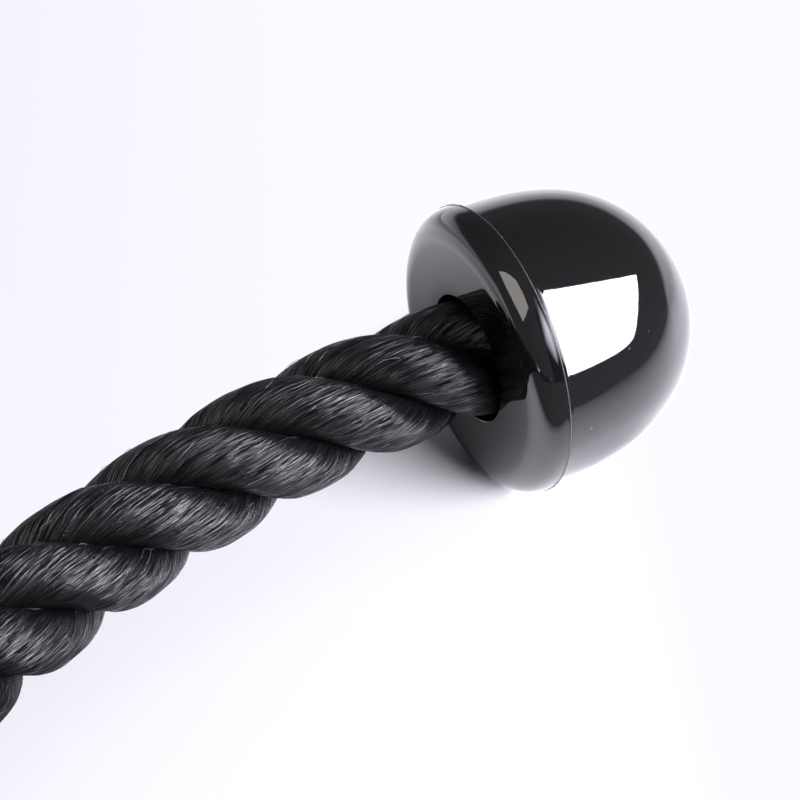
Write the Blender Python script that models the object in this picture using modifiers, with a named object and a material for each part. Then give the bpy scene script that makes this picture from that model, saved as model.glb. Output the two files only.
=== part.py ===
"""Triceps rope attachment: a laid rope through a swaged steel sleeve with a welded eye, and a two-part
plastic stopper on each end.

Metres, +Z up. The attachment lies on a floor at z = 0 as an open arch. The sleeve's axis runs along X,
the eye is on the +Y side, and both legs curve away towards -Y. The right leg is at +X, and the left one
mirrors it. The origin is under the middle of the attachment without its rope.

Along a stopper's own axis, height 0 is the parting plane between the end plate and the dome. The dome is
on the + side, and the rope comes in from the - side.
"""

from math import acos, cos, hypot, pi, radians, sin, sqrt, tau

import bmesh
import bpy
import numpy as np
from mathutils import Matrix, Vector

# Rope
ROPE_RADIUS = 0.015
LEG_LENGTH = 0.265  # free rope, from its bending point at the sleeve to the stopper's face
LEG_ROUTE_SHARES = [
    # along and down as shares of LEG_LENGTH, then the lift to the sleeve's axis and to the stopper's
    (0.000, 0.000, 1.00, 0.000),
    (0.124, -0.013, 0.80, 0.000),
    (0.243, -0.051, 0.33, 0.000),
    (0.353, -0.110, 0.03, 0.000),
    (0.453, -0.185, 0.00, 0.075),
    (0.541, -0.274, 0.00, 0.285),
    (0.617, -0.373, 0.00, 0.560),
    (0.683, -0.479, 0.00, 0.825),
    (0.740, -0.590, 0.00, 1.000),
]
END_HEADING = radians(-64.8)  # the right rope end's direction, seen from above
END_TILT = radians(4)  # and how far it points up
TUBE_STEP = 0.014
FLOOR_GAP = 0.0002  # what the rope's lowest point keeps from the floor

# Sleeve
SLEEVE_LENGTH = 0.048
SLEEVE_WALL = 0.003
SLEEVE_FIT = 0.0004
MOUTH_FLARE = 0.0018
MOUTH_LENGTH = 0.006
MOUTH_LIP = 0.0008
SWAGE_DEPTH = 0.0009
SWAGE_WIDTH = 0.0052
SWAGE_COUNT = 3
SWAGE_SPAN = 0.022
HINGE_OUTSIDE = 0.006  # the leg bends about a point this far outside the mouth

# Eye
EYE_HOLE_RADIUS = 0.0125
EYE_BAR_WIDTH = 0.0105
EYE_THICKNESS = 0.010
EYE_EDGE = 0.0028
SADDLE_DEPTH = 0.003
WELD_SIZE = 0.0034
WELD_LENGTH = 0.022
WELD_RIPPLES = 7
WELD_VALLEY_SHARE = 0.84
WELD_END_SHARE = 0.45

# Stopper: end plate
RIM_RADIUS = 0.0365
RIM_LAND = 0.0008
RIM_EDGE = 0.0003
PLATE_DEPTH = 0.0084
PLATE_EDGE_WIDTH = 0.0081  # from the flat face out to the rim
PLATE_EDGE_POWER = 2.8  # how squarely the face rounds over to the rim; 2 is an ellipse
PLATE_WALL = 0.0032
HOLE_RADIUS = 0.01615
HOLE_EDGE = 0.0007
HUB_WALL = 0.0034
HUB_HEIGHT = 0.004
SKIRT_WALL = 0.0021
SKIRT_HEIGHT = 0.006
SNAP_BEAD = 0.0006
SNAP_BEAD_LOW = 0.0032
SNAP_BEAD_HIGH = 0.0048
WEB_COUNT = 6
WEB_THICKNESS = 0.002
WEB_HEIGHT = 0.0042

# Stopper: dome
RIM_STEP = 0.001  # how far the rim stands out past the dome's mouth
DOME_DRAFT = 0.0003  # how much the dome narrows over its straight part
DOME_STRAIGHT = 0.012
CAP_HEIGHT = 0.0373
DOME_WALL = 0.003
RIB_CLEARANCE = 0.0032  # round the ferrule's flange
RIB_LOW = 0.0075
BOSS_RADIUS = 0.0085
PARTING_GAP = 0.0003

# Rope end
END_FIT = 0.0003  # what pieces that touch on the real thing keep here
FERRULE_WALL = 0.0022
FERRULE_FLANGE_RADIUS = 0.022
FERRULE_FLANGE = 0.0024
FERRULE_END_WALL = 0.002
FERRULE_EDGE = 0.0008
CRIMP_DEPTH = 0.0008
CRIMP_WIDTH = 0.0042
CRIMP_COUNT = 2
THRUST_THICKNESS = 0.002
THRUST_RADIUS = 0.023
THRUST_BORE_GAP = 0.0006
ROPE_INSIDE = 0.033  # how far the rope runs past the parting plane
WHIPPED_LENGTH = 0.018
TWINE_RADIUS = 0.0007
WHIPPING_CRESTS = 5  # what shows of its turns, drawn as broad crests
END_WASHER_RADIUS = 0.013
END_WASHER_THICKNESS = 0.0016
SCREW_RADIUS = 0.004
SCREW_GAP = 0.0004
SCREW_REACH = 0.024  # shank inside the rope
SCREW_TIP = 0.005
SCREW_HEAD_SIDES = 6
SCREW_HEAD_FLATS = 0.013
SCREW_HEAD_HEIGHT = 0.0055
HEAD_GAP = 0.0006

# Facets
STOPPER_STEPS = 40
SLEEVE_STEPS = 32
SMALL_STEPS = 20
CAP_STEPS = 8
HOLLOW_STEPS = 5
PLATE_EDGE_STEPS = 6
EDGE_STEPS = 3
HEMISPHERE_STEPS = 5
TIP_SHARE = 0.4  # of a step, where the round start of a leg is cut flat
ROPE_SIDES_RESOLUTION = 4
WELD_SIDES_RESOLUTION = 1
SHARP_ANGLE = radians(50)
OUTLINE_SAMPLES = 91  # along a dome's side, to find the lowest Y of the model
MERGE = 1e-6
OVERRUN = 0.004  # how far a cutter runs past what it cuts

SIDES = {"right": 1, "left": -1}

# Worked out from the above
SLEEVE_BORE_RADIUS = ROPE_RADIUS + SLEEVE_FIT
SLEEVE_RADIUS = SLEEVE_BORE_RADIUS + SLEEVE_WALL
MOUTH_BORE_RADIUS = SLEEVE_BORE_RADIUS + MOUTH_FLARE
MOUTH_RADIUS = SLEEVE_RADIUS + MOUTH_FLARE
SLEEVE_AXIS_HEIGHT = MOUTH_RADIUS
EYE_RADIUS = EYE_HOLE_RADIUS + EYE_BAR_WIDTH
PLATE_FACE_RADIUS = RIM_RADIUS - PLATE_EDGE_WIDTH
DOME_MOUTH_RADIUS = RIM_RADIUS - RIM_STEP
DOME_RADIUS = DOME_MOUTH_RADIUS - DOME_DRAFT
RIB_INNER_RADIUS = FERRULE_FLANGE_RADIUS + RIB_CLEARANCE
SKIRT_RADIUS = DOME_MOUTH_RADIUS - DOME_WALL - END_FIT
SKIRT_INNER_RADIUS = SKIRT_RADIUS - SKIRT_WALL
HUB_RADIUS = HOLE_RADIUS + HUB_WALL
APEX_HEIGHT = DOME_STRAIGHT + CAP_HEIGHT
RIM_CENTRE_HEIGHT = RIM_RADIUS * cos(END_TILT)
ROPE_LYING_HEIGHT = ROPE_RADIUS + FLOOR_GAP

THRUST_LOW = HUB_HEIGHT + END_FIT
FLANGE_LOW = THRUST_LOW + THRUST_THICKNESS + END_FIT
FERRULE_RADIUS = ROPE_RADIUS + END_FIT + FERRULE_WALL
FERRULE_TOP = ROPE_INSIDE + END_FIT + FERRULE_END_WALL
END_WASHER_LOW = FERRULE_TOP + END_FIT
SCREW_HEAD_LOW = END_WASHER_LOW + END_WASHER_THICKNESS + END_FIT
SCREW_HEAD_TOP = SCREW_HEAD_LOW + SCREW_HEAD_HEIGHT
SCREW_BORE_RADIUS = SCREW_RADIUS + SCREW_GAP
SCREW_TIP_HEIGHT = ROPE_INSIDE - SCREW_REACH
WHIPPING_TOP = ROPE_INSIDE - 2 * TWINE_RADIUS
WHIPPING_LOW = WHIPPING_TOP - WHIPPED_LENGTH
WHIPPED_ROPE_RADIUS = ROPE_RADIUS - 2 * TWINE_RADIUS


def clear_scene():
    for obj in list(bpy.data.objects):
        bpy.data.objects.remove(obj)
    for group in list(bpy.data.collections):
        bpy.data.collections.remove(group)


def new_collection(name):
    group = bpy.data.collections.new(name)
    bpy.context.scene.collection.children.link(group)
    return group


def new_material(name, colour, roughness, metallic=0):
    material = bpy.data.materials.new(name)
    material.use_nodes = True
    surface = material.node_tree.nodes["Principled BSDF"]
    surface.inputs["Base Color"].default_value = (*colour, 1)
    surface.inputs["Roughness"].default_value = roughness
    surface.inputs["Metallic"].default_value = metallic
    return material


def new_object(name, mesh, group, material=None):
    obj = bpy.data.objects.new(name, mesh)
    group.objects.link(obj)
    if material:
        mesh.materials.append(material)
    return obj


def as_helper(obj):
    obj.hide_render = True
    obj.display_type = "WIRE"
    return obj


def boolean(obj, other, operation):
    """Adds an exact Boolean on obj with the helper other."""
    modifier = obj.modifiers.new(f"{operation.lower()} {other.name}", "BOOLEAN")
    modifier.operation = operation
    modifier.object = other
    return modifier


def turned(name, profile, steps, group, material=None, closed=True):
    """Turns a profile of (radius, height) points about the object's own Z. A closed profile is a ring's
    section, an open one starts and ends on the axis. Both run down their outer side."""
    mesh = bpy.data.meshes.new(name)
    count = len(profile)
    edges = [(i, (i + 1) % count) for i in range(count if closed else count - 1)]
    mesh.from_pydata([(radius, 0, height) for radius, height in profile], edges, [])
    obj = new_object(name, mesh, group, material)
    screw = obj.modifiers.new("turn", "SCREW")
    screw.axis = "Z"
    screw.angle = tau
    screw.steps = screw.render_steps = steps
    screw.use_merge_vertices = True
    screw.merge_threshold = MERGE
    screw.use_smooth_shade = True
    return obj


def boxes(name, places, group):
    """One helper mesh of boxes, each given by its size and its matrix."""
    mesh = bpy.data.meshes.new(name)
    shape = bmesh.new()
    for size, matrix in places:
        bmesh.ops.create_cube(shape, size=1, matrix=matrix @ Matrix.Diagonal((*size, 1)))
    shape.to_mesh(mesh)
    shape.free()
    return as_helper(new_object(name, mesh, group))


def arc(centre, radii, start, end, steps):
    """Points of an ellipse's arc in (radius, height), both ends included."""
    for i in range(steps + 1):
        angle = start + (end - start) * i / steps
        yield centre[0] + radii[0] * cos(angle), centre[1] + radii[1] * sin(angle)


def smooth_curve(points, start_direction, end_direction, count):
    """count points of the smooth curve through the given ones, with a direction set at each end."""
    points = np.array(points)
    knots = np.concatenate([[0], np.cumsum(np.linalg.norm(np.diff(points, axis=0), axis=1))])
    gaps = np.diff(knots)[:, None]
    slopes = np.diff(points, axis=0) / gaps
    size = len(points)
    system, target = np.eye(size), np.zeros((size, 3))
    target[0], target[-1] = start_direction, end_direction
    for i in range(1, size - 1):
        before, after = gaps[i - 1, 0], gaps[i, 0]
        system[i, i - 1 : i + 2] = after, 2 * (before + after), before
        target[i] = 3 * (after * slopes[i - 1] + before * slopes[i])
    tangents = np.linalg.solve(system, target)
    found = []
    for t in np.linspace(0, knots[-1], count):
        i = min(int(np.searchsorted(knots, t, "right")) - 1, size - 2)
        gap = gaps[i, 0]
        w = (t - knots[i]) / gap
        rise = 3 * w**2 - 2 * w**3
        found.append(
            points[i] * (1 - rise)
            + points[i + 1] * rise
            + gap * (tangents[i] * (w - 2 * w**2 + w**3) + tangents[i + 1] * (w**3 - w**2))
        )
    return [Vector(p) for p in found]


def end_axis(sign):
    """The direction in which a rope end points."""
    flat = cos(END_TILT)
    return Vector((sign * flat * cos(END_HEADING), flat * sin(END_HEADING), sin(END_TILT)))


def route_points(sign, sleeve_centre):
    """The leg's route, from the point outside the sleeve's mouth about which it bends to the stopper's face."""
    bend = sleeve_centre + Vector((sign * (SLEEVE_LENGTH / 2 + HINGE_OUTSIDE), 0, 0))
    sleeve_lift = SLEEVE_AXIS_HEIGHT - ROPE_LYING_HEIGHT
    stopper_lift = RIM_CENTRE_HEIGHT - PLATE_DEPTH * sin(END_TILT) - ROPE_LYING_HEIGHT
    points = []
    for along, down, sleeve_share, stopper_share in LEG_ROUTE_SHARES:
        height = ROPE_LYING_HEIGHT + sleeve_lift * sleeve_share + stopper_lift * stopper_share
        points.append(
            Vector((bend.x + sign * along * LEG_LENGTH, bend.y + down * LEG_LENGTH, height))
        )
    return points


def middle_of_arch():
    """The sleeve's centre, placed so that the attachment without its rope is centred on the origin."""
    centre = Vector((0, 0, SLEEVE_AXIS_HEIGHT))
    axis = end_axis(1)
    rim = route_points(1, centre)[-1] + PLATE_DEPTH * axis
    reach = hypot(axis.x, axis.z)
    low = min(
        (rim + axis * (DOME_STRAIGHT + CAP_HEIGHT * sin(t))).y - DOME_RADIUS * cos(t) * reach
        for t in np.linspace(0, pi / 2, OUTLINE_SAMPLES)
    )
    high = eye_centre_offset() + EYE_RADIUS
    centre.y = -(low + high) / 2
    return centre


def eye_centre_offset():
    """How far the eye's centre is from the sleeve's axis: its bar is saddled on the sleeve."""
    return SLEEVE_RADIUS + END_FIT + EYE_RADIUS - SADDLE_DEPTH


def tube(name, points, radii, resolution, group, material):
    """A round tube along points, with a radius at each, as a closed mesh."""
    curve = bpy.data.curves.new(name, "CURVE")
    curve.dimensions = "3D"
    curve.bevel_depth = ROPE_RADIUS
    curve.bevel_resolution = resolution
    curve.use_fill_caps = True
    spline = curve.splines.new("POLY")
    spline.points.add(len(points) - 1)
    for point, place, radius in zip(spline.points, points, radii):
        point.co = (*place, 1)
        point.radius = radius / ROPE_RADIUS
    guide = bpy.data.objects.new(name + "_guide", curve)
    group.objects.link(guide)
    graph = bpy.context.evaluated_depsgraph_get()
    mesh = bpy.data.meshes.new_from_object(guide.evaluated_get(graph))
    shape = bmesh.new()
    shape.from_mesh(mesh)
    bmesh.ops.remove_doubles(shape, verts=shape.verts, dist=MERGE)
    shape.to_mesh(mesh)
    shape.free()
    mesh.name = name
    obj = new_object(name, mesh, group, material)
    obj.matrix_world = guide.matrix_world
    bpy.data.objects.remove(guide)
    mesh.shade_smooth()
    mesh.set_sharp_from_angle(angle=SHARP_ANGLE)
    return obj


def new_empty(name, group, location, rotation=None):
    empty = bpy.data.objects.new(name, None)
    empty.empty_display_size = SLEEVE_LENGTH / 2
    empty.location = location
    if rotation:
        empty.rotation_mode = "QUATERNION"
        empty.rotation_quaternion = rotation
    group.objects.link(empty)
    return empty


def sleeve(centre, group, material):
    """The swaged sleeve: a tube with flared mouths and a row of swage rings pressed into its outside."""
    half = SLEEVE_LENGTH / 2
    neck = half - MOUTH_LENGTH
    flare = [
        (MOUTH_RADIUS - MOUTH_LIP, half),
        (MOUTH_RADIUS, half - MOUTH_LIP),
        (MOUTH_RADIUS, half - 2 * MOUTH_LIP),
        (SLEEVE_RADIUS, neck),
    ]
    rings = []
    for i in range(SWAGE_COUNT):
        middle = SWAGE_SPAN * (1 / 2 - i / (SWAGE_COUNT - 1))
        rings += groove(SLEEVE_RADIUS, middle, SWAGE_WIDTH, SWAGE_DEPTH)
    far_flare = [(radius, -height) for radius, height in reversed(flare)]
    bore = [
        (MOUTH_BORE_RADIUS + MOUTH_LIP / 2, -half),
        (MOUTH_BORE_RADIUS, MOUTH_LIP - half),
        (SLEEVE_BORE_RADIUS, -neck),
        (SLEEVE_BORE_RADIUS, neck),
        (MOUTH_BORE_RADIUS, half - MOUTH_LIP),
        (MOUTH_BORE_RADIUS + MOUTH_LIP / 2, half),
    ]
    obj = turned("collar_sleeve", flare + rings + far_flare + bore, SLEEVE_STEPS, group, material)
    obj.location = centre
    obj.rotation_euler = (0, pi / 2, 0)


def groove(radius, middle, width, depth):
    """A groove pressed into a round piece of the given radius, down its outer side."""
    return [
        (radius, middle + width / 2),
        (radius - depth, middle + width / 4),
        (radius - depth, middle - width / 4),
        (radius, middle - width / 2),
    ]


def eye(centre, group, cutters, material):
    """The eye: a heavy ring with flat cheeks and rounded edges, saddled on the sleeve."""
    level = EYE_THICKNESS / 2 - EYE_EDGE
    outside, inside = EYE_RADIUS - EYE_EDGE, EYE_HOLE_RADIUS + EYE_EDGE
    edge = (EYE_EDGE, EYE_EDGE)
    section = [
        *arc((outside, level), edge, pi / 2, 0, EDGE_STEPS),
        *arc((outside, -level), edge, 0, -pi / 2, EDGE_STEPS),
        *arc((inside, -level), edge, -pi / 2, -pi, EDGE_STEPS),
        *arc((inside, level), edge, pi, pi / 2, EDGE_STEPS),
    ]
    obj = turned("eye_ring", section, SLEEVE_STEPS, group, material)
    obj.location = centre + Vector((0, eye_centre_offset(), 0))
    seat_radius = SLEEVE_RADIUS + END_FIT
    seat = [(0, EYE_RADIUS), (seat_radius, EYE_RADIUS), (seat_radius, -EYE_RADIUS), (0, -EYE_RADIUS)]
    cutter = as_helper(turned("sleeve_seat", seat, SLEEVE_STEPS, cutters, closed=False))
    cutter.location = centre
    cutter.rotation_euler = (0, pi / 2, 0)
    boolean(obj, cutter, "DIFFERENCE")


def weld_beads(centre, group, material):
    """A rippled bead in each corner between an eye cheek and the sleeve."""
    size = WELD_SIZE / 2
    rise = EYE_THICKNESS / 2 + END_FIT + size
    out = sqrt((SLEEVE_RADIUS + END_FIT + size) ** 2 - rise**2)
    count = 2 * WELD_RIPPLES + 1
    for name, sign in (("weld_bead_front", 1), ("weld_bead_back", -1)):
        points, radii = [], []
        for i in range(count):
            along = WELD_LENGTH * (i / (count - 1) - 1 / 2)
            points.append(centre + Vector((along, out, sign * rise)))
            at_end = i in (0, count - 1)
            radii.append(size * (WELD_END_SHARE if at_end else 1 if i % 2 else WELD_VALLEY_SHARE))
        tube(name, points, radii, WELD_SIDES_RESOLUTION, group, material)


def rope_centre(centre, group, material):
    """The rope inside the sleeve, between the two legs' round starts."""
    half = SLEEVE_LENGTH / 2 + HINGE_OUTSIDE - ROPE_RADIUS - SLEEVE_FIT
    points = [centre + Vector((half * share, 0, 0)) for share in (-1, 0, 1)]
    tube("rope_centre", points, [ROPE_RADIUS] * 3, ROPE_SIDES_RESOLUTION, group, material)


def rope_leg(side, route, group, cutters, material, leg_empty, end_empty):
    """A leg: a round start about the bending point, the free rope, and the whipped end inside the stopper."""
    axis = end_axis(SIDES[side])
    start = route[0]
    points, radii = [], []
    for i in range(HEMISPHERE_STEPS + 1):
        angle = pi / 2 * (i + TIP_SHARE) / (HEMISPHERE_STEPS + TIP_SHARE)
        points.append(start - Vector((SIDES[side] * ROPE_RADIUS * cos(angle), 0, 0)))
        radii.append(ROPE_RADIUS * sin(angle))
    count = round(LEG_LENGTH / TUBE_STEP) + 1
    free = smooth_curve(route, (SIDES[side], 0, 0), axis, count)
    points += free[1:]
    radii += [ROPE_RADIUS] * (count - 1)
    rim = route[-1] + PLATE_DEPTH * axis
    shoulder = TWINE_RADIUS
    stations = [
        (WHIPPING_LOW - END_FIT - shoulder, ROPE_RADIUS),
        (WHIPPING_LOW - END_FIT, WHIPPED_ROPE_RADIUS),
        (WHIPPING_TOP + END_FIT, WHIPPED_ROPE_RADIUS),
        (WHIPPING_TOP + END_FIT + shoulder / 2, ROPE_RADIUS),
        (ROPE_INSIDE, ROPE_RADIUS),
    ]
    for height, radius in stations:
        points.append(rim + height * axis)
        radii.append(radius)
    local = [p - start for p in points]
    obj = tube(f"rope_leg_{side}", local, radii, ROPE_SIDES_RESOLUTION, group, material)
    obj.parent = leg_empty
    low, top = SCREW_TIP_HEIGHT - END_FIT, ROPE_INSIDE + OVERRUN
    bore = [(0, top), (SCREW_BORE_RADIUS, top), (SCREW_BORE_RADIUS, low), (0, low)]
    cutter = as_helper(turned(f"screw_bore_{side}", bore, SMALL_STEPS, cutters, closed=False))
    cutter.parent = end_empty
    boolean(obj, cutter, "DIFFERENCE")


def whipping(side, group, material, parent):
    """Twine wound round the rope end, as one ring with crests."""
    inner = WHIPPED_ROPE_RADIUS + END_FIT
    pitch = WHIPPED_LENGTH / WHIPPING_CRESTS
    outer = []
    for i in range(WHIPPING_CRESTS):
        top = WHIPPING_TOP - i * pitch
        outer += [(ROPE_RADIUS - TWINE_RADIUS / 2, top), (ROPE_RADIUS, top - pitch / 2)]
    outer.append((ROPE_RADIUS - TWINE_RADIUS / 2, WHIPPING_LOW))
    section = outer + [(inner, WHIPPING_LOW), (inner, WHIPPING_TOP)]
    turned(f"end_whipping_{side}", section, SMALL_STEPS, group, material).parent = parent


def ferrule(side, group, material, parent):
    """The crimped cup on the rope end. Its flange is what the stopper's hub pulls against."""
    bore = ROPE_RADIUS + END_FIT
    floor = ROPE_INSIDE + END_FIT
    flange_top = FLANGE_LOW + FERRULE_FLANGE
    outer = [(FERRULE_RADIUS - FERRULE_EDGE, FERRULE_TOP), (FERRULE_RADIUS, FERRULE_TOP - FERRULE_EDGE)]
    pitch = (FERRULE_TOP - flange_top) / (CRIMP_COUNT + 1)
    for i in range(CRIMP_COUNT):
        outer += groove(FERRULE_RADIUS, FERRULE_TOP - (i + 1) * pitch, CRIMP_WIDTH, CRIMP_DEPTH)
    section = outer + [
        (FERRULE_RADIUS, flange_top),
        (FERRULE_FLANGE_RADIUS, flange_top),
        (FERRULE_FLANGE_RADIUS, FLANGE_LOW),
        (bore, FLANGE_LOW),
        (bore, floor),
        (SCREW_BORE_RADIUS, floor),
        (SCREW_BORE_RADIUS, FERRULE_TOP),
    ]
    turned(f"end_ferrule_{side}", section, SMALL_STEPS, group, material).parent = parent


def washer(name, inner, outer, low, thickness, group, material, parent):
    """A plain flat ring."""
    top = low + thickness
    section = [(outer, top), (outer, low), (inner, low), (inner, top)]
    turned(name, section, SMALL_STEPS, group, material).parent = parent


def lag_screw(side, group, cutters, material, parent):
    """A hexagon-headed lag screw up the middle of the rope end."""
    inside_head = SCREW_HEAD_LOW + SCREW_HEAD_HEIGHT / 2
    shank = [
        (0, inside_head),
        (SCREW_RADIUS, inside_head),
        (SCREW_RADIUS, SCREW_TIP_HEIGHT + SCREW_TIP),
        (0, SCREW_TIP_HEIGHT),
    ]
    obj = turned(f"lag_screw_{side}", shank, SMALL_STEPS, group, material, closed=False)
    obj.parent = parent
    mesh = bpy.data.meshes.new(f"screw_head_{side}")
    shape = bmesh.new()
    corner = SCREW_HEAD_FLATS / sqrt(3)
    middle = Matrix.Translation((0, 0, inside_head))
    bmesh.ops.create_cone(
        shape,
        cap_ends=True,
        segments=SCREW_HEAD_SIDES,
        radius1=corner,
        radius2=corner,
        depth=SCREW_HEAD_HEIGHT,
        matrix=middle,
    )
    shape.to_mesh(mesh)
    shape.free()
    head = as_helper(new_object(f"screw_head_{side}", mesh, cutters))
    head.parent = parent
    boolean(obj, head, "UNION")


def spokes(name, count, inner, outer, low, top, thickness, group, parent):
    """Boxes set round the axis like spokes, as one helper."""
    length = outer - inner
    size = (length, thickness, top - low)
    reach = Matrix.Translation((inner + length / 2, 0, (low + top) / 2))
    places = [(size, Matrix.Rotation(tau * i / count, 4, "Z") @ reach) for i in range(count)]
    obj = boxes(name, places, group)
    obj.parent = parent
    return obj


def end_plate(side, group, cutters, material, parent):
    """The stopper's end plate: a flat face with the rope hole, a rounded edge out to the rim, a hub that
    bears on the thrust washer, a snap skirt, and webs between them."""
    bead_middle = (SNAP_BEAD_LOW + SNAP_BEAD_HIGH) / 2
    floor = PLATE_WALL - PLATE_DEPTH
    skirt = [
        (SKIRT_RADIUS - SNAP_BEAD, SKIRT_HEIGHT),
        (SKIRT_RADIUS, SKIRT_HEIGHT - SNAP_BEAD),
        (SKIRT_RADIUS, SNAP_BEAD_HIGH),
        (SKIRT_RADIUS + SNAP_BEAD, bead_middle),
        (SKIRT_RADIUS, SNAP_BEAD_LOW),
        (SKIRT_RADIUS, 0),
        (RIM_RADIUS - RIM_EDGE, 0),
        (RIM_RADIUS, -RIM_EDGE),
    ]
    edge = []
    for i in range(PLATE_EDGE_STEPS + 1):
        angle = pi / 2 * i / PLATE_EDGE_STEPS
        depth = RIM_LAND + (PLATE_DEPTH - RIM_LAND) * sin(angle) ** (2 / PLATE_EDGE_POWER)
        edge.append((PLATE_FACE_RADIUS + (RIM_RADIUS - PLATE_FACE_RADIUS) * cos(angle), -depth))
    inside = [
        (HOLE_RADIUS + HOLE_EDGE, -PLATE_DEPTH),
        (HOLE_RADIUS, HOLE_EDGE - PLATE_DEPTH),
        (HOLE_RADIUS, HUB_HEIGHT),
        (HUB_RADIUS, HUB_HEIGHT),
        (HUB_RADIUS, floor),
        (SKIRT_INNER_RADIUS, floor),
        (SKIRT_INNER_RADIUS, SKIRT_HEIGHT),
    ]
    obj = turned(f"end_plate_{side}", skirt + edge + inside, STOPPER_STEPS, group, material)
    obj.parent = parent
    webs = spokes(
        f"plate_webs_{side}",
        WEB_COUNT,
        HUB_RADIUS - HUB_WALL / 2,
        SKIRT_INNER_RADIUS + SKIRT_WALL / 2,
        floor - PLATE_WALL / 2,
        floor + WEB_HEIGHT,
        WEB_THICKNESS,
        cutters,
        parent,
    )
    boolean(obj, webs, "UNION")


def end_dome(side, group, cutters, material, parent):
    """The stopper's dome: a hollow shell with a snap groove, ribs inside its wall and a boss over the
    screw head."""
    cap = arc((0, DOME_STRAIGHT), (DOME_RADIUS, CAP_HEIGHT), pi / 2, 0, CAP_STEPS)
    outside = [(0, APEX_HEIGHT), *list(cap)[1:]]
    outside += [
        (DOME_MOUTH_RADIUS, PARTING_GAP + RIM_EDGE),
        (DOME_MOUTH_RADIUS - RIM_EDGE, PARTING_GAP),
        (0, PARTING_GAP),
    ]
    obj = turned(f"end_dome_{side}", outside, STOPPER_STEPS, group, material, closed=False)
    obj.parent = parent

    mouth = DOME_MOUTH_RADIUS - DOME_WALL
    bead_middle = (SNAP_BEAD_LOW + SNAP_BEAD_HIGH) / 2
    boss_face = SCREW_HEAD_TOP + HEAD_GAP
    radii = (DOME_RADIUS - DOME_WALL, CAP_HEIGHT - DOME_WALL)
    boss_angle = acos(BOSS_RADIUS / radii[0])
    hollow = [
        (0, boss_face),
        (BOSS_RADIUS, boss_face),
        *arc((0, DOME_STRAIGHT), radii, boss_angle, 0, HOLLOW_STEPS),
        (mouth, SNAP_BEAD_HIGH + END_FIT),
        (mouth + SNAP_BEAD, bead_middle),
        (mouth, SNAP_BEAD_LOW - END_FIT),
        (mouth, -OVERRUN),
        (0, -OVERRUN),
    ]
    cavity = as_helper(turned(f"dome_hollow_{side}", hollow, STOPPER_STEPS, cutters, closed=False))
    cavity.parent = parent
    ribs = spokes(
        f"dome_ribs_{side}",
        WEB_COUNT,
        RIB_INNER_RADIUS,
        DOME_RADIUS + OVERRUN,
        RIB_LOW,
        APEX_HEIGHT,
        WEB_THICKNESS,
        cutters,
        parent,
    )
    boolean(cavity, ribs, "DIFFERENCE")
    boolean(obj, cavity, "DIFFERENCE")


def leg(side, centre, group, cutters, finish):
    """One leg with what is on its end. Everything on the rope end hangs on an empty at the rim's centre,
    whose Z points along the rope end, and the stopper on one more that turns about the same line."""
    sign = SIDES[side]
    axis = end_axis(sign)
    route = route_points(sign, centre)
    bend = new_empty(f"leg_bend_{side}", group, route[0])
    rim = route[-1] + PLATE_DEPTH * axis
    end = new_empty(f"rope_end_{side}", group, rim - route[0], frame_along(axis))
    end.parent = bend
    spin = new_empty(f"stopper_spin_{side}", group, (0, 0, 0))
    spin.parent = end

    rope_leg(side, route, group, cutters, finish["rope"], bend, end)
    whipping(side, group, finish["twine"], end)
    ferrule(side, group, finish["steel"], end)
    thrust_ring = (ROPE_RADIUS + THRUST_BORE_GAP, THRUST_RADIUS, THRUST_LOW, THRUST_THICKNESS)
    washer(f"thrust_washer_{side}", *thrust_ring, group, finish["nylon"], end)
    end_ring = (SCREW_BORE_RADIUS, END_WASHER_RADIUS, END_WASHER_LOW, END_WASHER_THICKNESS)
    washer(f"end_washer_{side}", *end_ring, group, finish["zinc"], end)
    lag_screw(side, group, cutters, finish["zinc"], end)
    end_plate(side, group, cutters, finish["stopper"], spin)
    end_dome(side, group, cutters, finish["stopper"], spin)


def frame_along(axis):
    """The turn that points Z along the axis and X as far down as it goes."""
    down = Vector((0, 0, -1))
    x = (down - down.dot(axis) * axis).normalized()
    return Matrix((x, axis.cross(x), axis)).transposed().to_quaternion()


def main():
    clear_scene()
    group = new_collection("triceps_rope_attachment")
    cutters = new_collection("cutters")
    finish = {
        "rope": new_material("black_laid_rope", (0.018, 0.018, 0.02), 0.55),
        "stopper": new_material("gloss_black_plastic", (0.008, 0.008, 0.009), 0.08),
        "steel": new_material("plated_steel", (0.62, 0.62, 0.63), 0.28, 1),
        "weld": new_material("weld_metal", (0.34, 0.33, 0.32), 0.45, 1),
        "zinc": new_material("zinc_plated_steel", (0.55, 0.56, 0.58), 0.35, 1),
        "nylon": new_material("natural_nylon", (0.75, 0.73, 0.66), 0.4),
        "twine": new_material("waxed_twine", (0.05, 0.05, 0.055), 0.6),
    }
    centre = middle_of_arch()
    sleeve(centre, group, finish["steel"])
    eye(centre, group, cutters, finish["steel"])
    weld_beads(centre, group, finish["weld"])
    rope_centre(centre, group, finish["rope"])
    for side in SIDES:
        leg(side, centre, group, cutters, finish)


main()
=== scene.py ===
# %% [markdown]
# A rope handle for a cable machine.
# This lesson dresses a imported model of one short, thick laid rope. The rope runs through a crimped steel
# sleeve with an eye, and each of its ends carries a glossy plastic stopper, a dome snapped on a plate.
# The engineering model is fixed, so we only lay a finer surface over it. Every length is in metres.

# %% Load the fixed model
from functools import partial
from math import cos, hypot, pi, radians, sin, sqrt, tan, tau

import bpy
import numpy as np
from mathutils import Matrix, Vector


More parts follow.
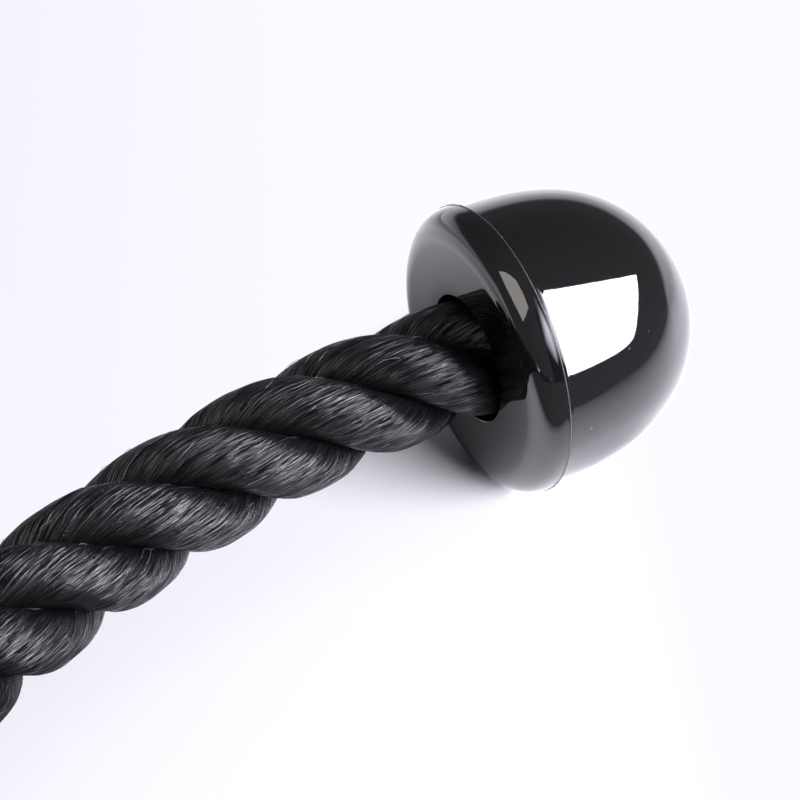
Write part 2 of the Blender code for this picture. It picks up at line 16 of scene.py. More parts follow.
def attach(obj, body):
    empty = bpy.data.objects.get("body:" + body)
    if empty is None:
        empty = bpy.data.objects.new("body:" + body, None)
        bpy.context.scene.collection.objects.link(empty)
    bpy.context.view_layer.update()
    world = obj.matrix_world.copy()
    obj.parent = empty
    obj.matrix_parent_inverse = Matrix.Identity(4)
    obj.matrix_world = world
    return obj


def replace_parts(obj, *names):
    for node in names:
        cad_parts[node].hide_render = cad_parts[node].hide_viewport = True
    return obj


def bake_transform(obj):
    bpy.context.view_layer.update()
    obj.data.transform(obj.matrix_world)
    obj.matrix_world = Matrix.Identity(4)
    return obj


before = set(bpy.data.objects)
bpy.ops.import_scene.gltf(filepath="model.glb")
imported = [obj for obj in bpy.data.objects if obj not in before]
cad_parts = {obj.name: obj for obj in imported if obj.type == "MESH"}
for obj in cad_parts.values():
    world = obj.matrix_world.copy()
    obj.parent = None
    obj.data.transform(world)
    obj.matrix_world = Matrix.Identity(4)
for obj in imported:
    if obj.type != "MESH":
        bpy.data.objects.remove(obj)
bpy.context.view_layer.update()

SIDES = {"right": 1, "left": -1}  # and the sign of X on each

# %% [markdown]
# The camera comes first, because everything after it is judged through it.
# The photograph looks down at the right stopper from the side of its rope. Its place was found by fitting
# the oval of the stopper's rim: a circle seen from an angle gives the direction, and how much the far side
# shrinks gives the distance. We keep the direction, the depth of the rim and the focal length in pixels.

# %% Place the camera
FRAME_PIXELS = 800
FOCAL_PIXELS = 2714
LOOKING_DOWN = radians(34.4)
HEADING = radians(-2.8)  # the way the camera looks, seen from above
RIM_DEPTH = 0.659
RIM_PIXEL = (497.1, 347.6)
RIM_CENTRE = Vector((0.22966783, -0.08894045, 0.03641109))
SENSOR_WIDTH = 36  # millimetres, as is the lens

ahead = Vector((cos(HEADING), sin(HEADING), 0))
to_right = Vector((sin(HEADING), -cos(HEADING), 0))
upward = Vector((0, 0, 1))
view_axis = cos(LOOKING_DOWN) * ahead - sin(LOOKING_DOWN) * upward
view_up = sin(LOOKING_DOWN) * ahead + cos(LOOKING_DOWN) * upward
half_frame = FRAME_PIXELS / 2
rim_ray = (
    view_axis
    + (RIM_PIXEL[0] - half_frame) / FOCAL_PIXELS * to_right
    + (half_frame - RIM_PIXEL[1]) / FOCAL_PIXELS * view_up
)


def standing(where, x, y, z):
    """The matrix of something at a place, with its own axes along these directions."""
    return Matrix.Translation(where) @ Matrix((x, y, z)).transposed().to_4x4()


camera = bpy.data.objects.new("camera", bpy.data.cameras.new("camera"))
bpy.context.scene.collection.objects.link(camera)
bpy.context.scene.camera = camera
camera.data.sensor_width = SENSOR_WIDTH
camera.data.lens = FOCAL_PIXELS / FRAME_PIXELS * SENSOR_WIDTH
camera.data.clip_start, camera.data.clip_end = 0.02, 30
camera.matrix_world = standing(RIM_CENTRE - RIM_DEPTH * rim_ray, to_right, view_up, -view_axis)
print("camera at", [round(x, 4) for x in camera.location], "with a lens of", round(camera.data.lens, 1), "mm")

# %% [markdown]
# The rope's line.
# A rope is a fixed length of something flexible. Its line leaves the middle of the sleeve, bends down to the
# floor and rises again to the hole of the stopper. It follows the engineering model to within a few
# millimetres and leaves it where the photographed rope lies a little higher. One smooth curve goes through
# the points. We sample it finely once, and afterwards ask only for a place at a given length along it. The
# left half is the mirror image of the right one, and lengths along it are negative.

# %% Follow the rope's line
ROPE_ROUTE = [
    (0.03000, 0.07499, 0.02020),
    (0.06286, 0.07155, 0.01920),
    (0.09440, 0.06148, 0.01685),
    (0.12455, 0.04584, 0.01600),
    (0.15165, 0.02597, 0.01805),
    (0.17517, 0.00238, 0.02248),
    (0.19501, -0.02385, 0.02785),
    (0.21180, -0.05194, 0.03272),
    (0.22610, -0.08136, 0.03583),
]
STOPPER_AXIS = Vector((0.42474211, -0.90262294, 0.06975647)).normalized()
SLEEVE_CENTRE = Vector((0, 0.07499158, 0.0202))
PLATE_DEPTH = 0.0084  # from the stopper's face to the model's parting line
ROPE_INSIDE = 0.033  # how far the rope runs past that line
LINE_SAMPLES = 4000


def smooth_line(points, start_direction, end_direction, count):
    """count points of the smooth curve through the given ones, with a direction set at each end."""
    points = np.array(points)
    knots = np.concatenate([[0], np.cumsum(np.linalg.norm(np.diff(points, axis=0), axis=1))])
    gaps = np.diff(knots)[:, None]
    slopes = np.diff(points, axis=0) / gaps
    size = len(points)
    system, target = np.eye(size), np.zeros((size, 3))
    target[0], target[-1] = start_direction, end_direction
    for i in range(1, size - 1):
        before, after = gaps[i - 1, 0], gaps[i, 0]
        system[i, i - 1 : i + 2] = after, 2 * (before + after), before
        target[i] = 3 * (after * slopes[i - 1] + before * slopes[i])
    tangents = np.linalg.solve(system, target)
    at = np.linspace(0, knots[-1], count)
    i = np.minimum(np.searchsorted(knots, at, "right") - 1, size - 2)
    gap = gaps[i]
    w = ((at - knots[i]) / gap[:, 0])[:, None]
    rise = 3 * w**2 - 2 * w**3
    bend = tangents[i] * (w - 2 * w**2 + w**3) + tangents[i + 1] * (w**3 - w**2)
    return points[i] * (1 - rise) + points[i + 1] * rise + gap * bend


free_line = smooth_line(ROPE_ROUTE, (1, 0, 0), STOPPER_AXIS, LINE_SAMPLES)
half_line = np.vstack(
    [
        [(0, SLEEVE_CENTRE.y, SLEEVE_CENTRE.z)],
        free_line,
        [free_line[-1] + np.array(STOPPER_AXIS) * (PLATE_DEPTH + ROPE_INSIDE)],
    ]
)
half_lengths = np.concatenate([[0], np.cumsum(np.linalg.norm(np.diff(half_line, axis=0), axis=1))])
HALF_LENGTH = half_lengths[-1]
FACE_LENGTH = HALF_LENGTH - PLATE_DEPTH - ROPE_INSIDE


def unit(vectors):
    """The same directions, each with a length of 1."""
    return vectors / np.linalg.norm(vectors, axis=1)[:, None]


def rope_places(lengths):
    """The rope's middle at these signed lengths from the sleeve's centre."""
    along = np.abs(lengths)
    places = np.stack([np.interp(along, half_lengths, half_line[:, k]) for k in range(3)], axis=1)
    places[:, 0] *= np.where(lengths < 0, -1, 1)
    return places


def rope_frames(lengths):
    """Places, and three unit directions at each: along the rope, level across it, and upward across it."""
    places = rope_places(lengths)
    step = 1e-3
    along = rope_places(lengths + step) - rope_places(lengths - step)
    ends = np.abs(lengths) > HALF_LENGTH - step
    along[ends] = np.sign(lengths[ends])[:, None] * np.array(STOPPER_AXIS) * np.where(
        lengths[ends, None] < 0, (-1, 1, 1), 1
    )
    along = unit(along)
    level = unit(np.cross((0, 0, 1), along))
    return places, along, level, np.cross(along, level)


print("each half of the rope is", round(HALF_LENGTH * 1000, 1), "mm long")

# %% [markdown]
# The laid strands.
# Three strands are twisted round each other to the right, and the yarns inside each strand are twisted the
# other way, so that on the crown of a strand the fibres lie along the rope. A twisted prism would give the
# grooves but not the undercut between the strands. So we sweep three separate closed tubes. Seen across the
# rope each is an oval, because the cut is slanted, and three such ovals just touch each other.
# The yarns stand out as real ridges. What is finer than they are is left to the material, which needs to
# know the way of the fibres: we store it as a UV map, with U across the fibres and V along them.

# %% Shape the strands
ROPE_RADIUS = 0.015
LAY_LENGTH = 0.077  # one full turn of a strand
LAY_AT_FACE = radians(84.3)  # where a strand stands at the right stopper's face
STRAND_OUT = 0.0083  # from the rope's middle to a strand's middle
STRAND_DEPTH = 0.0066  # half of the oval, across the rope
STRAND_BREADTH = 0.0089  # and half of it, round the rope
RING_STEP = 0.00072
OUTER_POINTS, INNER_POINTS = 92, 12
OUTER_REACH = radians(128)  # how far round the oval its outer, finer part goes
FIBRE_SLANT = 1.22  # how far a fibre moves back round its strand per length of rope
YARNS = 23
YARN_RELIEF = 0.00034
LOOSER = 0.045  # how much wider the rope is where nothing holds it
SCREW_CLEARANCE = 0.0042
SCREW_TIP = 0.009  # heights in the stopper, from the parting line
WHIPPED = (0.0127, 0.0322)
WHIPPED_RADIUS = 0.0135
STOPPER_HOLD, SLEEVE_HOLD = (0.015, 0.08), (0.03, 0.03)  # where the rope starts to widen, and over what length
SWELL, SWELL_PERIODS = 0.012, (0.02, 0.09)  # how unevenly thick a strand is

oval = np.concatenate(
    [
        np.linspace(-OUTER_REACH, OUTER_REACH, OUTER_POINTS),
        np.linspace(OUTER_REACH, tau - OUTER_REACH, INNER_POINTS + 2)[1:-1],
    ]
)
fine_angles = np.linspace(-pi, pi, 2001)
fine_steps = np.hypot(STRAND_DEPTH * np.sin(fine_angles), STRAND_BREADTH * np.cos(fine_angles)) * (tau / 2000)
fine_rounds = np.cumsum(fine_steps) - fine_steps[0]
ROUND_LENGTH = fine_rounds[-1]
oval_rounds = np.interp(np.where(oval > pi, oval - tau, oval), fine_angles, fine_rounds)


def new_piece(name, points, faces, *materials):
    """An object with a smooth mesh of these points and faces, put into the scene."""
    mesh = bpy.data.meshes.new(name)
    mesh.from_pydata(points, [], faces)
    mesh.shade_smooth()
    for material in materials:
        mesh.materials.append(material)
    piece = bpy.data.objects.new(name, mesh)
    bpy.context.scene.collection.objects.link(piece)
    return piece


def waves(values, seed, count, periods):
    """A smooth random wave of values, with repeats in the given range of periods. It stays within -1 to 1."""
    dice = np.random.default_rng(seed)
    total = np.zeros_like(values)
    for _ in range(count):
        period = dice.uniform(*periods)
        total += np.sin(values * tau / period + dice.uniform(0, tau))
    return total / count


def yarn_relief(across, along, seed):
    """How far the yarns stand out, for places across and along the fibres of one strand."""
    dice = np.random.default_rng(seed)
    size, edge = dice.uniform(0.45, 1, YARNS), dice.uniform(-0.28, 0.28, YARNS)
    turns = across / ROUND_LENGTH * YARNS
    turns = turns + 0.16 * waves(along, seed + 1, 4, (0.012, 0.05))
    number = np.floor(turns).astype(int)
    low, high = edge[number % YARNS], 1 + edge[(number + 1) % YARNS]
    share = np.clip((turns - number - low) / (high - low), 0, 1)
    crown = 1 - np.abs(2 * share - 1) ** 3.2
    strength = size[number % YARNS] * (1 + 0.35 * waves(along + 0.003 * number, seed + 2, 3, (0.01, 0.03)))
    return YARN_RELIEF * (crown * strength - 0.6)


print("each strand is", round(ROUND_LENGTH * 1000, 1), "mm round and carries", YARNS, "yarns")

# %% [markdown]
# Sweeping the strands.
# Each strand is a tube that winds round the rope's line. It is squeezed where the twine and the screw inside
# the stopper leave less room, and it is a little looser where nothing holds the rope.

# %% Sweep the strands
def rope_half(side):
    """One half of the rope as a mesh of three closed strands, with the fibres' directions as its UV map."""
    sign = SIDES[side]
    rings = round(HALF_LENGTH / RING_STEP) + 1
    lengths = sign * np.linspace(0, HALF_LENGTH, rings)
    places, along, level, rise = rope_frames(lengths)
    heights = np.abs(lengths) - FACE_LENGTH - PLATE_DEPTH
    held_by_stopper = np.clip((-heights - PLATE_DEPTH - STOPPER_HOLD[0]) / STOPPER_HOLD[1], 0, 1)
    held_by_sleeve = np.clip((np.abs(lengths) - SLEEVE_HOLD[0]) / SLEEVE_HOLD[1], 0, 1)
    wider = 1 + LOOSER * np.minimum(held_by_stopper, held_by_sleeve)
    most = np.where((heights > WHIPPED[0]) & (heights < WHIPPED[1]), WHIPPED_RADIUS, ROPE_RADIUS * 1.02 * wider)
    least = np.where(heights > SCREW_TIP, SCREW_CLEARANCE, 0)
    turn = tau * (lengths - FACE_LENGTH) / LAY_LENGTH + LAY_AT_FACE
    points, faces, uvs = [], [], []
    size = len(oval)
    for strand in range(3):
        angle = turn + tau * strand / 3
        out = np.cos(angle)[:, None] * level + np.sin(angle)[:, None] * rise
        aside = -np.sin(angle)[:, None] * level + np.cos(angle)[:, None] * rise
        across = oval_rounds[None, :] + FIBRE_SLANT * lengths[:, None]
        relief = yarn_relief(across, np.repeat(lengths[:, None], size, 1), 10 * strand + 1)
        swell = 1 + SWELL * waves(lengths, 50 + strand, 5, SWELL_PERIODS)
        normal = unit(np.stack([np.cos(oval) / STRAND_DEPTH, np.sin(oval) / STRAND_BREADTH], axis=1))
        outer = STRAND_OUT + STRAND_DEPTH * np.cos(oval) * swell[:, None] + relief * normal[:, 0]
        sideways = STRAND_BREADTH * np.sin(oval) * swell[:, None] + relief * normal[:, 1]
        reach = np.hypot(outer, sideways)
        fitted = np.clip(reach * wider[:, None], least[:, None], most[:, None]) / reach
        found = (
            places[:, None]
            + (outer * fitted)[:, :, None] * out[:, None]
            + (sideways * fitted)[:, :, None] * aside[:, None]
        )
        first = sum(len(p) for p in points)
        points.append(found.reshape(-1, 3))
        ring, spot = np.meshgrid(np.arange(rings - 1), np.arange(size), indexing="ij")
        after = (spot + 1) % size
        corners = np.stack(
            [ring * size + spot, ring * size + after, (ring + 1) * size + after, (ring + 1) * size + spot], axis=-1
        )
        if sign < 0:
            corners = corners[..., ::-1]
        round_before, round_after = oval_rounds[spot], oval_rounds[after]
        wraps = round_after < round_before - ROUND_LENGTH / 2
        round_after = np.where(wraps, round_after + ROUND_LENGTH, round_after)
        here, there = lengths[ring], lengths[ring + 1]
        uv_corners = ((round_before, here), (round_after, here), (round_after, there), (round_before, there))
        corner_uvs = np.stack([np.stack([r + FIBRE_SLANT * at, at], axis=-1) for r, at in uv_corners], axis=2)
        if sign < 0:
            corner_uvs = corner_uvs[:, :, ::-1]
        faces += (corners.reshape(-1, 4) + first).tolist()
        uvs.append((corner_uvs + (strand * 0.4, 0)).reshape(-1, 2))
        caps = [[first + i for i in range(size)][::-1], [first + (rings - 1) * size + i for i in range(size)]]
        for cap in caps:
            faces.append(cap if sign > 0 else cap[::-1])
            uvs.append(np.zeros((size, 2)))
    rope = new_piece(f"rope_{side}", np.concatenate(points).tolist(), faces)
    uv_map = rope.data.uv_layers.new(name="fibres")
    uv_map.data.foreach_set("uv", np.concatenate(uvs).astype(np.float32).ravel())
    return rope, places


print("each half gets", round(HALF_LENGTH / RING_STEP) + 1, "rings of", len(oval), "points to a strand")

# %% [markdown]
# The rope's halves.
# Each half starts in the sleeve and ends inside its stopper, and takes the place of the model's rope. Its
# mesh keeps its place in the world.


def bend_with_leg(piece):
    """Bakes a piece's placement into its mesh."""
    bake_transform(piece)


ropes = {}
for side in SIDES:
    rope, places = rope_half(side)
    ropes[side] = rope
    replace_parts(rope, f"rope_leg_{side}")
    bend_with_leg(rope)
    print(rope.name, "has", len(rope.data.polygons), "faces")
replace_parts(ropes["right"], "rope_centre")

# %% [markdown]
# Building materials from nodes.
# A material here is a small graph. A helper places nodes and joins them, so that each material below reads as
# a list of what feeds what. An effect that several materials share is a node group: a graph with named
# inputs and outputs, built once and used with other values each time.

# %% Helpers for node graphs
MAIN_OUTPUTS = {"ShaderNodeTexNoise": "Fac", "ShaderNodeTexVoronoi": "Distance", "ShaderNodeMapRange": "Result"}


def is_wire(value):
    return isinstance(value, (bpy.types.Node, bpy.types.NodeSocket))


def join(value, socket):
    """Feeds a node (its main output), a socket or a plain value into an input."""
    if isinstance(value, bpy.types.Node):
        value = value.outputs[MAIN_OUTPUTS.get(value.bl_idname, 0)]
    if is_wire(value):
        socket.id_data.links.new(value, socket)
    else:
        socket.default_value = value


def feed(node, **inputs):
    """Joins values to a node's inputs. A keyword names one, with _ for a space, or in0, in1 by its number."""
    for name, value in inputs.items():
        join(value, node.inputs[int(name[2:]) if name[:2] == "in" and name[2:].isdigit() else name.replace("_", " ")])
    return node


def place(graph, kind, **inputs):
    """Adds a node. A keyword names one of its own settings, or else an input as for feed."""
    node = graph.nodes.new(f"ShaderNode{kind}")
    settings = {name for name, value in inputs.items() if hasattr(node, name) and not is_wire(value)}
    for name in settings:
        setattr(node, name, inputs[name])
    return feed(node, **{name: value for name, value in inputs.items() if name not in settings})


def maths(operation, *values):
    graph = next(value.id_data for value in values if is_wire(value))
    return place(graph, "Math", operation=operation, **{f"in{k}": value for k, value in enumerate(values)})


times, plus, minus = (partial(maths, name) for name in ("MULTIPLY", "ADD", "SUBTRACT"))
divided, larger = (partial(maths, name) for name in ("DIVIDE", "MAXIMUM"))


def spread(value, low, high, to_low=0.0, to_high=1.0):
    """Maps low..high of a value to to_low..to_high, and stops at both ends."""
    limits = {"From_Min": low, "From_Max": high, "To_Min": to_low, "To_Max": to_high}
    return place(value.id_data, "MapRange", Value=value, **limits)


def mix(share, first, second):
    """A colour between two colours."""
    node = share.id_data.nodes.new("ShaderNodeMix")
    node.data_type = "RGBA"
    for value, name in ((share, "Factor_Float"), (first, "A_Color"), (second, "B_Color")):
        join(value, next(socket for socket in node.inputs if socket.identifier == name))
    return next(socket for socket in node.outputs if socket.identifier == "Result_Color")


def tinted(graph, colour, amount):
    """A colour times a number, which may pass 1."""
    return place(graph, "VectorMath", operation="SCALE", in0=colour, Scale=amount).outputs[0]


def measured(graph, operation, first, second):
    """A number from two vectors, such as their distance."""
    return place(graph, "VectorMath", operation=operation, in0=first, in1=second).outputs["Value"]


def new_group(name, inputs, outputs):
    """A node group, what it is given and what is wanted of it. A value of None stands for a vector."""
    group = bpy.data.node_groups.new(name, "ShaderNodeTree")
    for title, value in inputs.items():
        kind = "NodeSocketVector" if value is None else "NodeSocketFloat"
        socket = group.interface.new_socket(name=title, in_out="INPUT", socket_type=kind)
        if value is not None:
            socket.default_value = value
    for title in outputs:
        group.interface.new_socket(name=title, in_out="OUTPUT", socket_type="NodeSocketFloat")
    return group, group.nodes.new("NodeGroupInput").outputs, group.nodes.new("NodeGroupOutput").inputs


def use_group(graph, group, **inputs):
    node = graph.nodes.new("ShaderNodeGroup")
    node.node_tree = group
    return feed(node, **inputs)


def new_material(name, **surface):
    """A material with a Principled shader. Colours and numbers in surface are set on its own sockets."""
    material = bpy.data.materials.new(name)
    material.use_nodes = True
    shader = material.node_tree.nodes["Principled BSDF"]
    return material, material.node_tree, feed(shader, **surface)


def add_bump(graph, shader, depth, height):
    """Tilts the surface by a height, as if it stood out by depth."""
    bump = place(graph, "Bump", Strength=1.0, Distance=depth, Height=height)
    feed(shader, Normal=bump)
    return bump


print("shortcuts for graphs:", ", ".join(f.__name__ for f in (place, maths, spread, mix, use_group, add_bump)))

# %% [markdown]
# Fibres, as a shared effect.
# Black rope yarn is a bundle of thousands of flat, shiny filaments. From arm's length they show as streaks
# about a fifth of a millimetre wide and several millimetres long, some bright and some lost in shadow, and each
# streak sways a little. Noise that is stretched along the fibres gives that. The group takes two lengths,
# across and along the fibres, and gives the relief, a painted sheen for each streak, and the slits between
# them, which are painted shade.

# %% The fibre group
SWAYS_ACROSS, SWAYS_ALONG = 130.0, 160.0  # how many sways there are to a metre
fibres, given, wanted = new_group(
    "fibre_streaks",
    {"Across": 0, "Along": 0, "Width": 0.0004, "Length": 0.008, "Sway": 0.0004, "Slits": 1.0},
    ("Height", "Shine", "Slits"),
)


def stretched_noise(across, along, seed, detail=1.0, roughness=0.5):
    where = place(fibres, "CombineXYZ", X=across, Y=along, Z=seed)
    return place(fibres, "TexNoise", Vector=where, Scale=1.0, Detail=detail, Roughness=roughness)


sway = stretched_noise(times(given["Across"], SWAYS_ACROSS), times(given["Along"], SWAYS_ALONG), 0.0)
columns = divided(plus(given["Across"], times(minus(sway, 0.5), given["Sway"])), given["Width"])
rows = divided(given["Along"], given["Length"])


def fibre_noise(wider, longer, seed, detail=1.0, roughness=0.5):
    """Noise along the fibres, so many times wider and longer than one streak."""
    return stretched_noise(divided(columns, wider), divided(rows, longer), seed, detail, roughness)


streaks = fibre_noise(1.0, 1.0, 1.7, 2.0, 0.55)
bundles = fibre_noise(2.6, 1.5, 7.3)
clumps = fibre_noise(7.0, 2.2, 13.1)
# The slits between bundles sink in the relief and take the shine away: a painted shade.
shaded_slits = times(spread(fibre_noise(1.9, 1.3, 21.9), 0.42, 0.37), given["Slits"])
raised = plus(times(streaks, 0.5), times(bundles, 0.9))
join(minus(raised, times(shaded_slits, 0.35)), wanted["Height"])
# The shine is a painted sheen, bright on some streaks and painted shade on others.
painted_sheen = times(spread(streaks, 0.32, 0.56, 0.22, 1.0), spread(bundles, 0.32, 0.50, 0.65, 1.0))
painted_sheen = times(painted_sheen, spread(clumps, 0.36, 0.6, 0.8, 1.0))
join(times(painted_sheen, minus(1.0, shaded_slits)), wanted["Shine"])
join(shaded_slits, wanted["Slits"])
print("the fibre group has", len(fibres.nodes), "nodes")

# %% [markdown]
# The rope's finish.
# Filament yarn is near black, and nearly all that we see of it is gloss. The gloss is drawn out across the
# fibres, as on brushed metal, so the shader is anisotropic and takes its direction from the UV map. The
# streaks change the colour, the roughness and the coat from fibre to fibre, and a bump tilts each one. The
# colour and the coat carry a painted sheen on the bright streaks and a painted shade in the slits.

# %% Finish the rope
STREAK_WIDTH, STREAK_LENGTH, STREAK_SWAY = 0.00022, 0.0065, 0.0004
PAINTED_SHADE_YARN, PAINTED_SHEEN_YARN = (0.0005, 0.0005, 0.0006, 1), (0.0036, 0.0034, 0.0044, 1)

rope_finish, graph, shader = new_material(
    "black_laid_rope", Anisotropic=0.7, IOR=1.5, Specular_IOR_Level=0.03, Coat_Roughness=0.27, Coat_IOR=1.5
)
along_fibres = place(graph, "SeparateXYZ", Vector=place(graph, "UVMap", uv_map="fibres")).outputs
streak = use_group(
    graph,
    fibres,
    Across=along_fibres["X"],
    Along=along_fibres["Y"],
    Width=STREAK_WIDTH,
    Length=STREAK_LENGTH,
    Sway=STREAK_SWAY,
).outputs
# The streaks' shine picks the yarn's colour between a painted shade and a painted sheen, and sets how strong the coat
# is.
feed(
    shader,
    Base_Color=mix(streak["Shine"], PAINTED_SHADE_YARN, PAINTED_SHEEN_YARN),
    Roughness=spread(streak["Shine"], 0, 1, 0.62, 0.40),
    Coat_Weight=spread(streak["Shine"], 0.30, 1.0, 0.0, 0.70),
    Tangent=place(graph, "Tangent", direction_type="UV_MAP", uv_map="fibres"),
    Coat_Normal=add_bump(graph, shader, 0.0006, streak["Height"]),
)
for rope in ropes.values():
    rope.data.materials.append(rope_finish)
print(rope_finish.name, "has", len(graph.nodes), "nodes")

# %% [markdown]
# Loose fibres.
# Handling breaks a few filaments. They lift off the strands as fine hairs, some as flat loops and some with a
# free end, most of them by the grooves. Each one follows the rope's own surface along its fibres and rises
# from it a little, so it can't float. They are thin closed tubes of one tenth of a millimetre.

# %% Lift the loose fibres
HAIRS = 260  # on each half
HAIR_RADIUS = 0.00005
HAIR_STEPS = 9
HAIR_SIDES = 4
FREE_SHARE, GROOVE_SHARE = 0.45, 0.6  # how many have a free end, and how many lie by a groove


def loose_fibres(side, seed):
    """Fine closed tubes that follow the fibres of one half of the rope and rise from them."""
    dice = np.random.default_rng(seed)
    sign = SIDES[side]
    size = len(oval)
    surface = np.empty(3 * len(ropes[side].data.vertices))
    ropes[side].data.vertices.foreach_get("co", surface)
    surface = surface.reshape(3, -1, size, 3)
    rings = surface.shape[1]
    middle = rope_places(sign * np.linspace(0, HALF_LENGTH, rings))
    rounds = oval_rounds[:OUTER_POINTS]
    points, faces = [], []
    for _ in range(HAIRS):
        strand = dice.integers(3)
        free = dice.random() < FREE_SHARE
        start = dice.uniform(0.045, FACE_LENGTH - 0.012) / RING_STEP
        reach = dice.uniform(0.002, 0.008) / RING_STEP
        by_groove = dice.random() < GROOVE_SHARE
        angle = dice.choice((-1, 1)) * dice.uniform(1.1, 1.5) if by_groove else dice.uniform(-1.1, 1.1)
        first_round = np.interp(angle, oval[:OUTER_POINTS], rounds)
        lift = dice.uniform(0.0002, 0.0009) if free else dice.uniform(0.0001, 0.0005)
        drift = dice.uniform(-0.0015, 0.0015)
        spine = []
        for t in np.linspace(0, 1, HAIR_STEPS):
            at = start + reach * t
            low = int(at)
            across = first_round - FIBRE_SLANT * sign * reach * t * RING_STEP + drift * t * t
            spot = np.clip(np.interp(across, rounds, np.arange(OUTER_POINTS)), 0, OUTER_POINTS - 1.001)
            near = int(spot)
            ends = [
                surface[strand, ring, near] * (1 - spot + near) + surface[strand, ring, near + 1] * (spot - near)
                for ring in (low, low + 1)
            ]
            on_rope = ends[0] * (1 - at + low) + ends[1] * (at - low)
            outward = on_rope - middle[low]
            outward /= np.linalg.norm(outward)
            height = lift * (t**1.5 if free else sin(pi * t)) - 0.00003 * (1 - t if free else 1)
            spine.append(on_rope + outward * height)
        spine = np.array(spine)
        way = unit(np.gradient(spine, axis=0))
        aside = unit(np.cross(way, outward))
        over = np.cross(aside, way)
        first = len(points)
        for k in range(1, HAIR_STEPS - 1):
            for turned in range(HAIR_SIDES):
                angle = tau * turned / HAIR_SIDES
                points.append(spine[k] + HAIR_RADIUS * (cos(angle) * aside[k] + sin(angle) * over[k]))
        points += [spine[0], spine[-1]]
        last_ring = first + (HAIR_STEPS - 3) * HAIR_SIDES
        for turned in range(HAIR_SIDES):
            after = (turned + 1) % HAIR_SIDES
            for ring in range(first, last_ring, HAIR_SIDES):
                faces.append((ring + turned, ring + HAIR_SIDES + turned, ring + HAIR_SIDES + after, ring + after))
            faces.append((len(points) - 2, first + turned, first + after))
            faces.append((len(points) - 1, last_ring + after, last_ring + turned))
    return new_piece(f"rope_loose_fibres_{side}", np.array(points).tolist(), faces, hair_finish)


hair_finish, graph, shader = new_material("loose_rope_fibre", Roughness=0.3, IOR=1.5)
tone = place(graph, "TexNoise", Vector=place(graph, "TexCoord").outputs["Object"], Scale=160.0)
feed(shader, Base_Color=mix(spread(tone, 0.4, 0.6), (0.02, 0.02, 0.022, 1), (0.14, 0.14, 0.15, 1)))
for side in SIDES:
    hairs = loose_fibres(side, 7)
    bend_with_leg(hairs)
    print(hairs.name, "has", HAIRS, "hairs")

# %% [markdown]
# Turned pieces.
# The stopper, the sleeve and the eye are round about an axis. We draw half of a section, as a closed loop of
# (radius, height) points with rounded corners, and turn it. Turning it in code keeps the rings where we want
# them, closely set where the surface bends, so the mirror gloss of the stopper stays smooth.

# %% Turn a section about an axis
def arc(centre, radii, start, end, steps):
    """Points of an ellipse's arc in (radius, height), both ends included. Angles are in degrees."""
    angles = np.radians(np.linspace(start, end, steps + 1))
    return [(centre[0] + radii[0] * cos(a), centre[1] + radii[1] * sin(a)) for a in angles]


def axis_frame(axis, centre):
    """The matrix that puts a turned piece's Z along axis and its X as far down as that goes."""
    down = Vector((0, 0, -1)) if abs(axis.z) < 0.9 else Vector((1, 0, 0))
    x = (down - down.dot(axis) * axis).normalized()
    return standing(centre, x, axis.cross(x), axis)


def turn(name, section, steps, matrix, material, uneven=None):
    """A closed section of (radius, height) points turned about Z. Points on the axis are drawn once.
    uneven changes the points of the whole mesh before it is placed."""
    points, rings, faces = [], [], []
    angles = np.arange(steps) * tau / steps
    for radius, height in section:
        if radius < 1e-7:
            rings.append([len(points)] * steps)
            points.append((0, 0, height))
        else:
            rings.append(range(len(points), len(points) + steps))
            points += [(radius * cos(a), radius * sin(a), height) for a in angles]
    for ring, after in zip(rings, rings[1:] + rings[:1]):
        for i in range(steps):
            j = (i + 1) % steps
            face = list(dict.fromkeys((ring[i], after[i], after[j], ring[j])))
            if len(face) > 2:
                faces.append(face)
    piece = new_piece(name, uneven(np.array(points)).tolist() if uneven else points, faces, material)
    piece.matrix_world = matrix
    return piece


def mirrored(vector):
    return Vector((-vector.x, vector.y, vector.z))


quarter = arc((0, 0), (1, 1), 0, 90, 4)
print("a quarter round of", len(quarter), "points, from", quarter[0], "to", [round(x, 3) for x in quarter[-1]])


# %% [markdown]
# Wear, as a shared effect.
# Handled things are never quite even: hairline scratches cross each other, a film of dust settles, and a
# moulded surface is faintly wavy. One group gives the three, for plastic and metal alike.

# %% The wear group
wear, given, wanted = new_group(
    "handling_wear", {"Vector": None, "Scratch Density": 0.5, "Dust": 0.5}, ("Scratches", "Dust", "Waves")
)
scratch_layers = []
for stretch, turned_by in (((900, 22, 22), (0.3, 0.1, 0.7)), ((22, 850, 30), (0.9, 0.5, 0.2))):
    turned_place = place(wear, "Mapping", Vector=given["Vector"], Rotation=turned_by, Scale=stretch)
    lines = place(wear, "TexNoise", Vector=turned_place, Scale=1.0, Detail=2.0, Roughness=0.5)
    scratch_layers.append(spread(lines, 0.70, 0.78))
join(times(larger(*scratch_layers), given["Scratch Density"]), wanted["Scratches"])
specks = place(wear, "TexVoronoi", Vector=given["Vector"], Scale=260.0, Randomness=1.0)
patches = place(wear, "TexNoise", Vector=given["Vector"], Scale=45.0, Detail=3.0)
speck = times(spread(specks, 0.10, 0.05), spread(patches, 0.50, 0.62))
join(times(speck, given["Dust"]), wanted["Dust"])
join(place(wear, "TexNoise", Vector=given["Vector"], Scale=38.0, Detail=1.0), wanted["Waves"])
print("the wear group has", len(wear.nodes), "nodes")

# %% [markdown]
# The stopper's finish.
# It is black injection moulding straight from a polished mould: nearly a mirror. A mirror needs very little,
# only what breaks the perfection at the right scale. So the bump is far weaker than one would think, and
# scratches and dust only raise the roughness a little.

# %% Finish the plastic
PLASTIC_DUST, PLASTIC_WAVES = (0.20, 0.19, 0.18, 1), 0.00003


